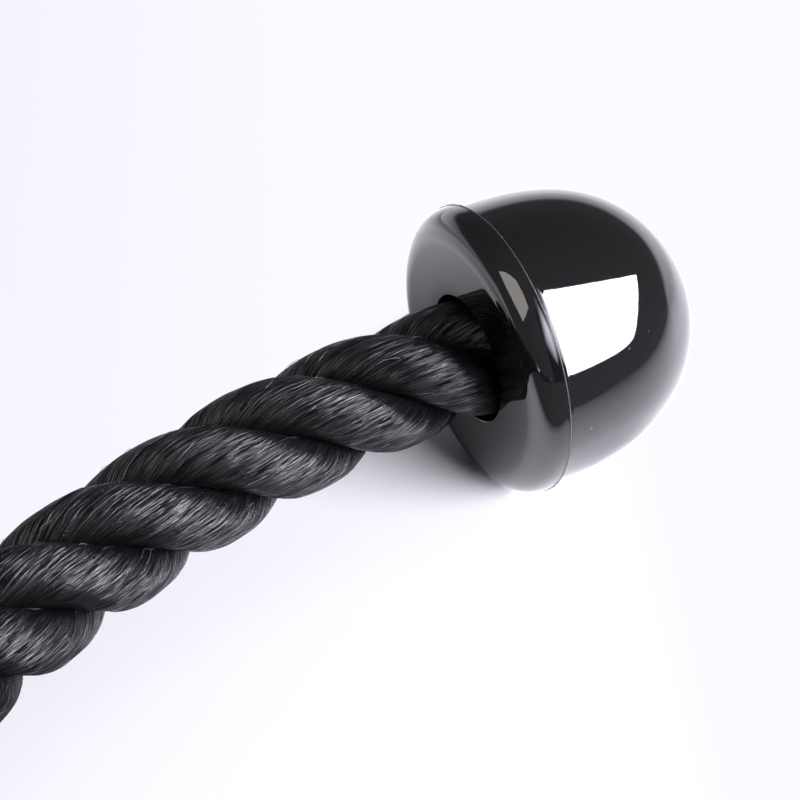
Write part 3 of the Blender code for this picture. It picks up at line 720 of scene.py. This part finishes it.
def worn_surface(graph, scratched, dusty):
    """Where we are on a piece, and the marks that handling left there."""
    where = place(graph, "TexCoord").outputs["Object"]
    marks = use_group(graph, wear, Vector=where, Scratch_Density=scratched, Dust=dusty).outputs
    return where, marks, larger(marks["Scratches"], marks["Dust"])


def finish_plastic(name, colour, roughness):
    material, graph, shader = new_material(name, IOR=1.55)
    where, marks, worn = worn_surface(graph, 0.10, 0.5)
    feed(
        shader,
        Base_Color=mix(marks["Dust"], (*colour, 1), PLASTIC_DUST),
        Roughness=spread(worn, 0, 1, roughness, roughness + 0.3),
    )
    add_bump(graph, shader, PLASTIC_WAVES, marks["Waves"])
    return material


gloss_black = finish_plastic("gloss_black_plastic", (0.0035, 0.0037, 0.0042), 0.035)
flash_black = finish_plastic("parting_line_flash", (0.045, 0.045, 0.05), 0.34)
print("finished plastic:", gloss_black.name, "and", flash_black.name)

# %% [markdown]
# The stopper.
# It is two mouldings snapped together. The end plate has a flat face with the rope's hole and rounds over to
# a sharp rim, and the dome is half of a long egg on a short straight skirt. They meet in a thin pale line,
# where the plate's edge kept a little flash from its mould. The photograph shows that line 0.9 mm nearer to
# the rope than the model has it, so the plate is that much shallower and the dome that much deeper. Inside,
# the plate carries a hub, which the ferrule on the rope's end bears against, and a skirt with the snap bead.

# %% Turn the plate and the dome
RIM_RADIUS = 0.0365
RIM_LAND = 0.0003  # the straight part of the edge, below the rim
PARTING = -0.0009  # the height of the parting line on the stopper's axis, from the model's own
PARTING_CORNER = 0.0002
FACE_RADIUS = 0.0284
EDGE_POWER = 2.8  # how squarely the face rounds over to the rim
EDGE_DRAFT = tan(radians(1.6))  # the taper that lets the edge leave its mould
HOLE_RADIUS = 0.01615
HOLE_EDGE = 0.00025
PLATE_WALL = 0.0032
HUB_RADIUS, HUB_HEIGHT = 0.01955, 0.004
SKIRT_RADIUS, SKIRT_INSIDE, SKIRT_HEIGHT = 0.0322, 0.0301, 0.006
SNAP_BEAD, SNAP_HEIGHT = 0.0006, 0.004
DOME_MOUTH, DOME_HEIGHT = 0.0355, 0.0493
DOME_FULLNESS, DOME_ROUNDNESS = 2.85, 1.95  # how long the side stays straight, and how blunt the end is
DOME_WALL = 0.003
DOME_STEPS = 96
PARTING_GAP = 0.0002
LIP_FLARE = 0.00006  # how far the dome opens at its mouth
FLASH_OUT = 0.00018
BURR_ANGLE, BURR_WIDTH = radians(160), 0.012
STOPPER_STEPS = 192

plate_edge = []
for t in np.linspace(0, 1, 33):
    angle = pi / 2 * t
    down = RIM_LAND + (PLATE_DEPTH - RIM_LAND) * sin(angle) ** (2 / EDGE_POWER)
    draft = EDGE_DRAFT * down * (1 - (down / PLATE_DEPTH) ** 2)
    if down > RIM_LAND - PARTING:
        plate_edge.append((FACE_RADIUS + (RIM_RADIUS - FACE_RADIUS) * cos(angle) - draft, -down))
plate_floor = PLATE_WALL - PLATE_DEPTH
plate_section = [
    (SKIRT_INSIDE, SKIRT_HEIGHT),
    (SKIRT_RADIUS - SNAP_BEAD, SKIRT_HEIGHT),
    (SKIRT_RADIUS, SKIRT_HEIGHT - SNAP_BEAD),
    *((SKIRT_RADIUS + out, SNAP_HEIGHT + up) for out, up in ((0, 0.0008), (SNAP_BEAD, 0), (0, -0.0008))),
    (SKIRT_RADIUS, PARTING),
    (DOME_MOUTH, PARTING),
    *arc((RIM_RADIUS - PARTING_CORNER, PARTING - PARTING_CORNER), (PARTING_CORNER, PARTING_CORNER), 90, 0, 3),
    *plate_edge,
    (0.024, -PLATE_DEPTH),
    (0.020, -PLATE_DEPTH),
    *arc((HOLE_RADIUS + HOLE_EDGE, HOLE_EDGE - PLATE_DEPTH), (HOLE_EDGE, HOLE_EDGE), 270, 180, 6),
    (HOLE_RADIUS, HUB_HEIGHT),
    (HUB_RADIUS, HUB_HEIGHT),
    (HUB_RADIUS, plate_floor),
    (SKIRT_INSIDE, plate_floor),
]


def dome_curve(radius, height, steps, first=0.0):
    """Points from the dome's mouth to its end. They lie closer together towards the end."""
    heights = height * np.sin(np.linspace(first, pi / 2, steps + 1))
    radii = radius * np.maximum(1 - (heights / height) ** DOME_FULLNESS, 0) ** (1 / DOME_ROUNDNESS)
    return list(zip(radii.tolist(), heights.tolist()))


shell = dome_curve(DOME_MOUTH, DOME_HEIGHT, DOME_STEPS, 0.016)
hollow = dome_curve(DOME_MOUTH - DOME_WALL, DOME_HEIGHT - DOME_WALL, 32, 0.02)
lip = (DOME_MOUTH + LIP_FLARE - PARTING_CORNER, PARTING + PARTING_GAP + PARTING_CORNER)
dome_section = [
    *arc(lip, (PARTING_CORNER, PARTING_CORNER), 270, 355, 3),
    *shell[:-1],
    (0, DOME_HEIGHT),
    (0, DOME_HEIGHT - DOME_WALL),
    *hollow[-2::-1],
    (DOME_MOUTH - DOME_WALL, PARTING + PARTING_GAP),
]
flash_section = [
    (RIM_RADIUS - 0.0006, PARTING + 0.00002),
    (RIM_RADIUS - 0.0006, PARTING - 0.00022),
    (RIM_RADIUS + FLASH_OUT * 0.4, PARTING - 0.00022),
    (RIM_RADIUS + FLASH_OUT, PARTING - 0.00008),
    (RIM_RADIUS + FLASH_OUT * 0.5, PARTING + 0.00005),
    (RIM_RADIUS - 0.0003, PARTING + 0.00008),
]


def ragged(points):
    """Leaves the flash uneven round the rim, with one small burr."""
    angle = np.arctan2(points[:, 1], points[:, 0])
    outer = np.hypot(points[:, 0], points[:, 1]) > RIM_RADIUS
    swing = 0.5 * np.sin(9 * angle + 1) * np.sin(23 * angle) + 0.3 * np.sin(57 * angle)
    burr = np.exp(-(((angle - BURR_ANGLE + pi) % tau - pi) / BURR_WIDTH) ** 2)
    grow = 1 + outer * (0.00005 * swing + 0.00025 * burr) / RIM_RADIUS
    return points * np.stack([grow, grow, np.ones_like(grow)], axis=1)


for side, sign in SIDES.items():
    centre = RIM_CENTRE if sign > 0 else mirrored(RIM_CENTRE)
    axis = STOPPER_AXIS if sign > 0 else mirrored(STOPPER_AXIS)
    stand = axis_frame(axis, centre)
    for name, section, material, node, uneven in (
        ("stopper_plate", plate_section, gloss_black, "end_plate", None),
        ("stopper_dome", dome_section[::-1], gloss_black, "end_dome", None),
        ("parting_flash", flash_section[::-1], flash_black, None, ragged),
    ):
        piece = turn(f"{name}_{side}", section, STOPPER_STEPS, stand, material, uneven)
        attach(piece, f"stopper_{side}")
        if node:
            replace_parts(piece, f"{node}_{side}")
        print(piece.name, "has", len(piece.data.polygons), "faces")

# %% [markdown]
# The steel's finish.
# The sleeve and the eye are plated bright, the weld beads are plated over their scale, and the small parts
# inside are zinc plated. One recipe serves all three: a fine grain changes the tone and the roughness, and
# the marks of handling lie over it.

# %% Finish the steel
METAL_DUST = (0.25, 0.23, 0.2, 1)


def finish_metal(name, colour, rough, scratched, bump_depth, grain_scale, stain):
    material, graph, shader = new_material(name, Metallic=1.0)
    where, marks, worn = worn_surface(graph, scratched, 0.3)
    grain = place(graph, "TexNoise", Vector=where, Scale=grain_scale, Detail=4.0, Roughness=0.6)
    stained = tuple(c * (1 - stain) for c in colour)
    toned = mix(spread(grain, 0.3, 0.7), (*stained, 1), (*colour, 1))
    feed(
        shader,
        Base_Color=mix(marks["Dust"], toned, METAL_DUST),
        Roughness=plus(spread(grain, 0.3, 0.7, *rough), times(worn, 0.25)),
    )
    add_bump(graph, shader, bump_depth, minus(times(grain, 0.5), marks["Scratches"]))
    return material


satin_chrome = finish_metal("satin_chrome", (0.62, 0.62, 0.63), (0.17, 0.27), 0.8, 0.00002, 180.0, 0.12)
weld_metal = finish_metal("plated_weld", (0.36, 0.35, 0.34), (0.28, 0.46), 0.2, 0.00005, 900.0, 0.45)
zinc_plate = finish_metal("zinc_plate", (0.56, 0.57, 0.59), (0.30, 0.46), 0.5, 0.00003, 420.0, 0.22)
print("finished steel:", satin_chrome.name, weld_metal.name, zinc_plate.name)

# %% [markdown]
# The sleeve and the eye.
# A thick steel tube was pressed round the middle of the rope in a die, which left three rings in it, and its
# mouths flare so that they don't cut the rope. A heavy ring is welded on as the eye for the machine's clip.
# Both are turned like the stopper. The ring simply sinks into the wall of the tube, as a welded joint does.

# %% Turn the sleeve and the eye
SLEEVE_HALF, SLEEVE_RADIUS, BORE_RADIUS = 0.024, 0.0184, 0.0154
MOUTH_FLARE, MOUTH_LENGTH, MOUTH_LIP = 0.0018, 0.006, 0.0008
SWAGE_MIDDLES, SWAGE_WIDTH, SWAGE_DEPTH = (0.011, 0, -0.011), 0.0052, 0.0009
EYE_CENTRE = Vector((0, 0.11369158, 0.0202))
EYE_HOLE, EYE_RADIUS, EYE_THICKNESS, EYE_EDGE = 0.0125, 0.023, 0.010, 0.0028


def mouth(radius, lip_side, towards):
    """The sleeve's wall from its neck to the lip of its flared mouth, outside (1) or inside (-1)."""
    points = []
    for t in np.linspace(0, 1, 9)[1:]:
        height = SLEEVE_HALF - MOUTH_LENGTH + t * (MOUTH_LENGTH - MOUTH_LIP)
        points.append((radius + MOUTH_FLARE * (3 * t * t - 2 * t**3), towards * height))
    middle = (radius + MOUTH_FLARE - lip_side * MOUTH_LIP, towards * (SLEEVE_HALF - MOUTH_LIP))
    return points + arc(middle, (lip_side * MOUTH_LIP, towards * MOUTH_LIP), 0, 90, 5)[1:]


rings = []
for middle in SWAGE_MIDDLES:
    for t in np.linspace(-0.5, 0.5, 15):
        dent = SWAGE_DEPTH * (1 - (2 * abs(t)) ** 4) ** 2
        rings.append((SLEEVE_RADIUS - dent, middle - t * SWAGE_WIDTH))
sleeve_section = [
    *mouth(SLEEVE_RADIUS, 1, 1)[::-1],
    *rings,
    *mouth(SLEEVE_RADIUS, 1, -1),
    *mouth(BORE_RADIUS, -1, -1)[::-1],
    *((BORE_RADIUS, height) for height in (-0.018, 0, 0.018)),
    *mouth(BORE_RADIUS, -1, 1),
]
sleeve_stand = standing(SLEEVE_CENTRE, (0, 0, -1), (0, 1, 0), (1, 0, 0))
sleeve = turn("pressed_sleeve", sleeve_section[::-1], 128, sleeve_stand, satin_chrome)
level = EYE_THICKNESS / 2 - EYE_EDGE
corner = (EYE_EDGE, EYE_EDGE)
outer, inner = EYE_RADIUS - EYE_EDGE, EYE_HOLE + EYE_EDGE
eye_corners = (((outer, level), 90), ((outer, -level), 0), ((inner, -level), -90), ((inner, level), 180))
eye_section = [point for middle, start in eye_corners for point in arc(middle, corner, start, start - 90, 8)]
eye = turn("welded_eye", eye_section[::-1], 128, Matrix.Translation(EYE_CENTRE), satin_chrome)
for piece, node in ((sleeve, "collar_sleeve"), (eye, "eye_ring")):
    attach(piece, "centre")
    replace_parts(piece, node)
    print(piece.name, "has", len(piece.data.polygons), "faces")

# %% [markdown]
# The weld beads.
# A hand-laid bead is a row of frozen ripples, each a curved scale over the one before. We sweep a round bead
# along the corner between ring and tube and let its radius follow ripples that lag behind at the sides.

# %% Lay the weld beads
BEAD_LENGTH, BEAD_RADIUS, BEAD_RIPPLES = 0.023, 0.0023, 11
BEAD_OUT, BEAD_RISE = 0.01916, 0.007  # from the sleeve's axis


def weld_bead(name, side):
    """A round bead along the sleeve on one side of the ring, which is 1 for the front and -1 for the back."""
    rings_count, sides = 150, 28
    points, faces = [], []
    dice = np.random.default_rng(5 + side)
    uneven = dice.uniform(-0.06, 0.06, BEAD_RIPPLES + 4)
    for t in np.linspace(0, 1, rings_count):
        end = min(1, sqrt(max(0, 1 - max(0, abs(2 * t - 1) - 0.86) ** 2 / 0.14**2)) + 0.02)
        for angle in np.arange(sides) * tau / sides:
            phase = t * BEAD_RIPPLES + 0.45 * cos(angle - radians(45 * side)) + 0.5
            scale = 0.90 + 0.11 * (1 - (phase % 1)) ** 0.7 + uneven[int(phase)]
            radius = BEAD_RADIUS * end * scale
            points.append(
                (
                    (t - 0.5) * BEAD_LENGTH,
                    SLEEVE_CENTRE.y + BEAD_OUT + radius * cos(angle),
                    SLEEVE_CENTRE.z + side * BEAD_RISE + radius * sin(angle),
                )
            )
    for ring in range(rings_count - 1):
        for i in range(sides):
            j = (i + 1) % sides
            faces.append((ring * sides + i, ring * sides + j, (ring + 1) * sides + j, (ring + 1) * sides + i))
    faces.append(range(sides)[::-1])
    faces.append(range((rings_count - 1) * sides, rings_count * sides))
    bead = new_piece(name, points, faces, weld_metal)
    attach(bead, "centre")
    return bead


for name, side in (("front", 1), ("back", -1)):
    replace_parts(weld_bead(f"rippled_bead_{name}", side), f"weld_bead_{name}")
print("two beads of", BEAD_RIPPLES, "ripples")

# %% [markdown]
# The pieces inside the stoppers.
# Their shapes in the engineering model are already right, so they stay and only get finishes: zinc plate on
# the ferrule, washer and screw, natural nylon on the thrust washer, and waxed twine wound tightly round the
# rope's end. The twine's turns follow the distance along the stopper's axis. The left side mirrors the right
# one, so one material serves both if it looks at the distance from the middle plane.

# %% Finish the inner pieces
TWINE_PITCH = 0.0011


def finish_nylon():
    material, graph, shader = new_material("natural_nylon", IOR=1.53, Subsurface_Scale=0.002)
    where = place(graph, "TexCoord").outputs["Object"]
    cloud = place(graph, "TexNoise", Vector=where, Scale=300.0, Detail=3.0)
    tone = mix(spread(cloud, 0.35, 0.65), (0.70, 0.67, 0.59, 1), (0.77, 0.75, 0.69, 1))
    feed(shader, Base_Color=tone, Roughness=spread(cloud, 0.3, 0.7, 0.42, 0.58))
    add_bump(graph, shader, 0.00003, cloud)
    return material


def finish_twine():
    material, graph, shader = new_material("waxed_twine", IOR=1.48)
    parts = place(graph, "SeparateXYZ", Vector=place(graph, "TexCoord").outputs["Object"]).outputs
    where = place(graph, "CombineXYZ", X=maths("ABSOLUTE", parts["X"]), Y=parts["Y"], Z=parts["Z"])
    height = measured(graph, "DOT_PRODUCT", where, STOPPER_AXIS)
    ridge = maths("ABSOLUTE", maths("SINE", times(divided(height, TWINE_PITCH), pi)))
    fluff = place(graph, "TexNoise", Vector=where, Scale=2500.0, Detail=2.0)
    relief = plus(ridge, times(fluff, 0.4))
    # The colour follows the relief: darker between the turns, a painted shade in their grooves, with a random tone
    # from the fluff.
    tone = mix(spread(relief, 0.2, 1.2), (0.012, 0.012, 0.014, 1), (0.060, 0.060, 0.066, 1))
    feed(shader, Base_Color=tone, Roughness=spread(fluff, 0.3, 0.7, 0.42, 0.62))
    add_bump(graph, shader, 0.0004, relief)
    return material


inner_finishes = {
    "end_whipping": finish_twine(),
    "end_ferrule": zinc_plate,
    "thrust_washer": finish_nylon(),
    "end_washer": zinc_plate,
    "lag_screw": zinc_plate,
}
for node, material in inner_finishes.items():
    for side in SIDES:
        for slot in bpy.data.objects[f"{node}_{side}"].material_slots:
            slot.material = material
print("finished", 2 * len(inner_finishes), "inner pieces")

# %% [markdown]
# The table.
# The photograph stands on a white table, lit by a large soft light on the right, and shows it as plain white
# with only the deepest shadows. Behind the rope, on the right and far away it shows no shadow at all, so the
# floor gives off its own white there and takes no light from the lamps. Towards the left its white is a little
# darker, a painted shade. The gloss sees the table in painted light and shade: how its brightness changes,
# painted shadows round the stopper, and the edge where the dark room begins.

# %% Lay the floor
FLOOR_SIDE = 12
# The left white is darker than the right: a painted shade, where the light from the lamp on the right falls off.
WHITE_RIGHT, PAINTED_SHADE_WHITE_LEFT = (0.985, 0.96, 1.05), (0.905, 0.885, 0.98)  # on either side of the picture
RIGHT_Y, LEFT_Y = -0.06, 0.07
# In the gloss the table's colour is painted light and shade. It is brighter than white near the stopper, dimmer
# further off and to the left, and darker at the painted shadows listed below, round the stopper and the rope.
TABLE_TINT = (1.02, 1.0, 1.09)  # how it looks in the gloss, before its brightness
NEAR_SIDE, FAR_SIDE = (0.20, 2.9), (0.52, 1.75)  # its brightness there, by X
LEFT_FADE = (0.1, 0.5, 1.0, 0.55)  # and its share between two places, by Y
PAINTED_SHADOW_PLACES = [  # x, y, two distances from there, and the share of brightness at the first one
    (0.22, 0.13, 0.0, 0.22, 0.26),
    (0.272, -0.04, 0.0, 0.07, 0.45),
    (0.238, -0.068, 0.008, 0.06, 0.34),
    (0.226, -0.122, 0.008, 0.024, 0.6),
    (0.33, -0.125, 0.03, 0.15, 0.62),
]
EDGE_FROM, EDGE_TO = (0.143, -0.205), (0.71, -1.62)  # the table ends on the line through these
EDGE_BLUR = (-0.10, 0.012)  # from the last of the table to the full dark, across that line
NEAR_EDGE = (0.172, 0.145)  # the same on the camera's side, by X
BEHIND_WAY = (0.686, 0.7275, 0)  # the level way across the rope's leg, away from the camera
BEHIND_SEEN, BEHIND_IN_GLOSS = (0.125, 0.160), (0.135, 0.20, 0.0, 0.95)
RIGHT_SEEN = (-0.10, -0.13)  # by Y
WHITE_MIDDLE, AWAY_SEEN, AWAY_IN_GLOSS = (0.2, -0.05), (0.14, 0.4, 0.0), (0.22, 0.6, 0.0)
DARK_ROOM = (0.27, 0.29, 0.30)


def bare_material(name):
    """A material without a shader, its graph, and the place to join one."""
    material, graph, shader = new_material(name)
    graph.nodes.remove(shader)
    return material, graph, graph.nodes["Material Output"].inputs["Surface"]


def from_point(x, y, near, far, share):
    """Rises from share to 1 between two distances from a place on the floor."""
    return spread(measured(graph, "DISTANCE", position, (x, y, 0)), near, far, share, 1.0)


half_side = FLOOR_SIDE / 2
corners = [(x * half_side, y * half_side, 0) for x, y in ((-1, -1), (1, -1), (1, 1), (-1, 1))]
table, graph, table_surface = bare_material("white_table")
floor = new_piece("floor", corners, [(0, 1, 2, 3)], table)
rays = place(graph, "LightPath").outputs
glossy = rays["Is Glossy Ray"]
position = place(graph, "NewGeometry").outputs["Position"]
spot = place(graph, "SeparateXYZ", Vector=position).outputs
edge_x, edge_y = EDGE_TO[0] - EDGE_FROM[0], EDGE_TO[1] - EDGE_FROM[1]
edge_length = hypot(edge_x, edge_y)
outside = plus(times(spot["X"], edge_y / edge_length), times(spot["Y"], -edge_x / edge_length))
edge_at = (EDGE_FROM[0] * edge_y - EDGE_FROM[1] * edge_x) / edge_length
past_line = spread(outside, edge_at + EDGE_BLUR[0], edge_at + EDGE_BLUR[1])
past_edge = larger(past_line, spread(spot["X"], *NEAR_EDGE))
# The table's painted light in the gloss, times its painted shadows.
brightness = spread(spot["X"], NEAR_SIDE[0], FAR_SIDE[0], NEAR_SIDE[1], FAR_SIDE[1])
brightness = times(brightness, spread(spot["Y"], *LEFT_FADE))
for darker in PAINTED_SHADOW_PLACES:
    brightness = times(brightness, from_point(*darker))
white = mix(spread(spot["Y"], RIGHT_Y, LEFT_Y), (*WHITE_RIGHT, 1), (*PAINTED_SHADE_WHITE_LEFT, 1))
table_colour = mix(glossy, white, tinted(graph, TABLE_TINT, brightness))
lit_by_lamps = place(graph, "BsdfDiffuse", Color=table_colour)
own_white = place(graph, "Emission", Color=table_colour, Strength=1.0)
behind = measured(graph, "DOT_PRODUCT", position, BEHIND_WAY)
on_right_or_away = larger(spread(spot["Y"], *RIGHT_SEEN), from_point(*WHITE_MIDDLE, *AWAY_SEEN))
own_seen = larger(spread(behind, *BEHIND_SEEN), on_right_or_away)
own_in_gloss = larger(from_point(*WHITE_MIDDLE, *AWAY_IN_GLOSS), spread(behind, *BEHIND_IN_GLOSS))
own_share = times(mix(glossy, own_seen, own_in_gloss), minus(1.0, rays["Is Diffuse Ray"]))
whole_table = place(graph, "MixShader", Fac=own_share, in1=lit_by_lamps, in2=own_white)
dark_room = place(graph, "Emission", Color=(*DARK_ROOM, 1), Strength=1.0)
shown = place(graph, "MixShader", Fac=times(glossy, past_edge), in1=whole_table, in2=dark_room)
join(shown, table_surface)
print("a floor of", FLOOR_SIDE, "m, darker in the gloss at", len(PAINTED_SHADOW_PLACES), "places")

# %% [markdown]
# The room.
# The camera sees plain white beyond the table. The gloss sees a lit backdrop, whose upper edge stands higher
# on some sides than on others, and the dark room above it. A colour ramp that runs round half of the horizon
# keeps both measures of the backdrop: its red is the height of the edge and its green is the brightness.

# %% Build the world
BACKDROP = {  # by the way looked: its height above the table, and how bright it is down there
    0: (-9, 2.0), 18: (-4, 2.0), 25: (2, 2.0), 34: (5, 2.0), 49: (8, 2.0), 60: (12, 1.7), 77: (13, 1.5),
    98: (14.5, 1.75), 115: (14.7, 2.1), 130: (15, 2.0), 140: (15, 1.65), 150: (10, 1.3), 161: (6, 1.2),
    171: (1, 1.1), 180: (-5, 1.1),
}
HEIGHT_SHIFT, GLOW_SCALE = 0.5, 4.0  # they keep the ramp's colours between 0 and 1
TOP_BLUR = (-0.04, 0.05)  # from the backdrop to the room, as heights past the edge
TOP_SHARE, TOP_ANGLE = 0.45, 16  # how much of the brightness is left at this many degrees up
ROOM_FADE = (-0.2, 0.6, 1.0, 0.6)  # the room's share of light, by X of the way looked
FILL_LIGHT, PLAIN_WHITE = (0.036, 0.034, 0.045, 1), (1, 1, 1, 1)

world = bpy.data.worlds.new("studio")
bpy.context.scene.world = world
world.use_nodes = True
graph = world.node_tree
rays = place(graph, "LightPath").outputs
way = place(graph, "SeparateXYZ", Vector=place(graph, "TexCoord").outputs["Generated"]).outputs
way_round = maths("ARCTAN2", way["X"], times(way["Y"], -1.0))
skyline = place(graph, "ValToRGB", Fac=spread(way_round, 0.0, pi))
ramp = skyline.color_ramp.elements
for k, (degrees_round, (height, glow)) in enumerate(BACKDROP.items()):
    element = ramp[0] if k == 0 else ramp[-1] if degrees_round == 180 else ramp.new(degrees_round / 180)
    element.color = (sin(radians(height)) + HEIGHT_SHIFT, glow / GLOW_SCALE, 0, 1)
measures = place(graph, "SeparateColor", Color=skyline).outputs
above = spread(minus(way["Z"], minus(measures["Red"], HEIGHT_SHIFT)), *TOP_BLUR)
climb = spread(way["Z"], 0.0, sin(radians(TOP_ANGLE)), 1.0, TOP_SHARE)
backdrop = tinted(graph, TABLE_TINT, times(times(measures["Green"], GLOW_SCALE), climb))
room = tinted(graph, DARK_ROOM, spread(way["X"], *ROOM_FADE))
plain = mix(rays["Is Camera Ray"], FILL_LIGHT, PLAIN_WHITE)
shown = mix(rays["Is Glossy Ray"], plain, mix(above, backdrop, room))
feed(graph.nodes["Background"], Color=shown, Strength=1.0)
print("a backdrop of", len(ramp), "heights round half of the horizon")

# %% [markdown]
# The lamps.
# The lamps give an even, plain light and don't show in the gloss. What the gloss sees is brighter and has a
# shape of its own: the outline of the white window in the dome, turned back into a lit sheet in space. It
# fades to the left, as a soft light does away from its bulb. A weaker, warmer one stands high on the left.

# %% Shape the lamps
LAMP_CORNER = Vector((0.388, -0.890, 0.417))
LAMP_RIGHT, LAMP_UP = Vector((0.9755, -0.2200, 0.0059)), Vector((0, 0.0267, 0.9996))
LAMP_OUTLINE = [  # to the right of the corner and above it, in the lamp's plane
    (0.030, 0.060), (-0.121, -0.028), (-0.223, -0.098), (-0.316, -0.184), (-0.367, -0.244), (-0.423, -0.306),
    (-0.481, -0.329), (-0.564, -0.343), (-0.651, -0.350), (-0.755, -0.364), (-1.700, -0.380), (-1.700, 1.300),
    (-0.460, 1.300), (-0.425, 0.957), (-0.424, 0.813), (-0.397, 0.703), (-0.355, 0.587), (-0.256, 0.396),
    (-0.121, 0.212),
]
LAMP_GLOSS = 38.0
FADE_CURVE = (-0.73, 0.166, 0.236)  # how far right it starts: first + second * up + third * up * up
FADE_STEP = (0.03, 0.10)  # how far past it the quick first step of the fade begins and ends
STEP_SHARE = (0.5, 1.0, 0.5, 0.9)  # how much of the light that step takes, between two heights
FADE_HEIGHTS, FADE_REACH = (-0.25, 0.4), (0.05, 0.50)  # how far the rest goes on, low on the lamp and high on it
FADE_SLOPE, FADE_POWER = (0.3, 2.2, 1.0, 0.0), 1.6
WARM_PLACE = Vector((-0.201, 0.458, 0.794))
WARM_RIGHT, WARM_UP = Vector((0.8016, 0.5978, 0)), Vector((0.4357, -0.5842, 0.6848))
WARM_OUTLINE = [
    (0.417, -0.141), (0.192, 0.184), (0.074, 0.332), (-0.100, 0.503), (-0.325, 0.429), (-0.487, 0.257),
    (-0.296, -0.184), (-0.063, -0.550), (0.144, -0.463), (0.291, -0.361),
]
WARM_GLOSS = 4.7
LIT_PLACE = Vector((0.2, -0.06, 0))


def fading(graph):
    """The share of light left at each place of the lamp's window, less and less to the left of a curve."""
    where = place(graph, "TexCoord").outputs["Object"]
    along, high = (
        minus(measured(graph, "DOT_PRODUCT", where, way), LAMP_CORNER.dot(way)) for way in (LAMP_RIGHT, LAMP_UP)
    )
    bend = times(high, maths("MULTIPLY_ADD", high, FADE_CURVE[2], FADE_CURVE[1]))
    past = minus(plus(bend, FADE_CURVE[0]), along)
    left = spread(divided(past, spread(high, *FADE_HEIGHTS, *FADE_REACH)), *FADE_SLOPE)
    lost = times(spread(past, *FADE_STEP), spread(high, *STEP_SHARE))
    return times(maths("POWER", left, FADE_POWER), minus(1.0, lost))


def glossy_window(name, corner, across, up, outline, colour, strength, fades):
    """A lit shape that only gloss shows, with its outline drawn from a corner in the plane of two ways."""
    points = [corner + x * across + y * up for x, y in outline]
    material, graph, surface = bare_material(name)
    window = new_piece(name, points, [range(len(points))], material)
    window.visible_camera = window.visible_diffuse = window.visible_shadow = False
    if fades:
        strength = times(fading(graph), strength)
    join(place(graph, "Emission", Color=(*colour, 1), Strength=strength), surface)


def soft_lamp(name, heading, height, distance, size, watts):
    """A lamp for everything but the camera and the gloss. heading and height are its way from the stopper."""
    out = Matrix.Rotation(radians(heading), 3, "Z") @ Vector((cos(radians(height)), 0, sin(radians(height))))
    side = out.cross(upward).normalized()
    lamp = bpy.data.objects.new(name, bpy.data.lights.new(name, "AREA"))
    lamp.data.shape = "RECTANGLE"
    lamp.data.size, lamp.data.size_y = size
    lamp.data.energy = watts
    lamp.matrix_world = standing(LIT_PLACE + distance * out, -side, side.cross(out).normalized(), out)
    lamp.visible_camera = lamp.visible_glossy = False
    bpy.context.scene.collection.objects.link(lamp)
    print(name, "of", watts, "W")


print("the lamp's window has", len(LAMP_OUTLINE), "corners and the warm one", len(WARM_OUTLINE))

# %% [markdown]
# The light.
# The bright window and its warm companion serve the gloss. The key lamp gives the shadow's direction and how
# soft it is, and the near light keeps the other side from going quite black.

# %% Light the part
glossy_window("lamp_window", LAMP_CORNER, LAMP_RIGHT, LAMP_UP, LAMP_OUTLINE, (0.93, 0.93, 1.05), LAMP_GLOSS, True)
glossy_window("warm_window", WARM_PLACE, WARM_RIGHT, WARM_UP, WARM_OUTLINE, (1, 0.95, 0.91), WARM_GLOSS, False)
soft_lamp("key", -130, 19.3, 1.695, (1.28, 0.80), 92.0)
soft_lamp("near_light", 110, 52, 1.1, (0.5, 0.5), 0.6)
bpy.context.scene.view_settings.view_transform = "Standard"
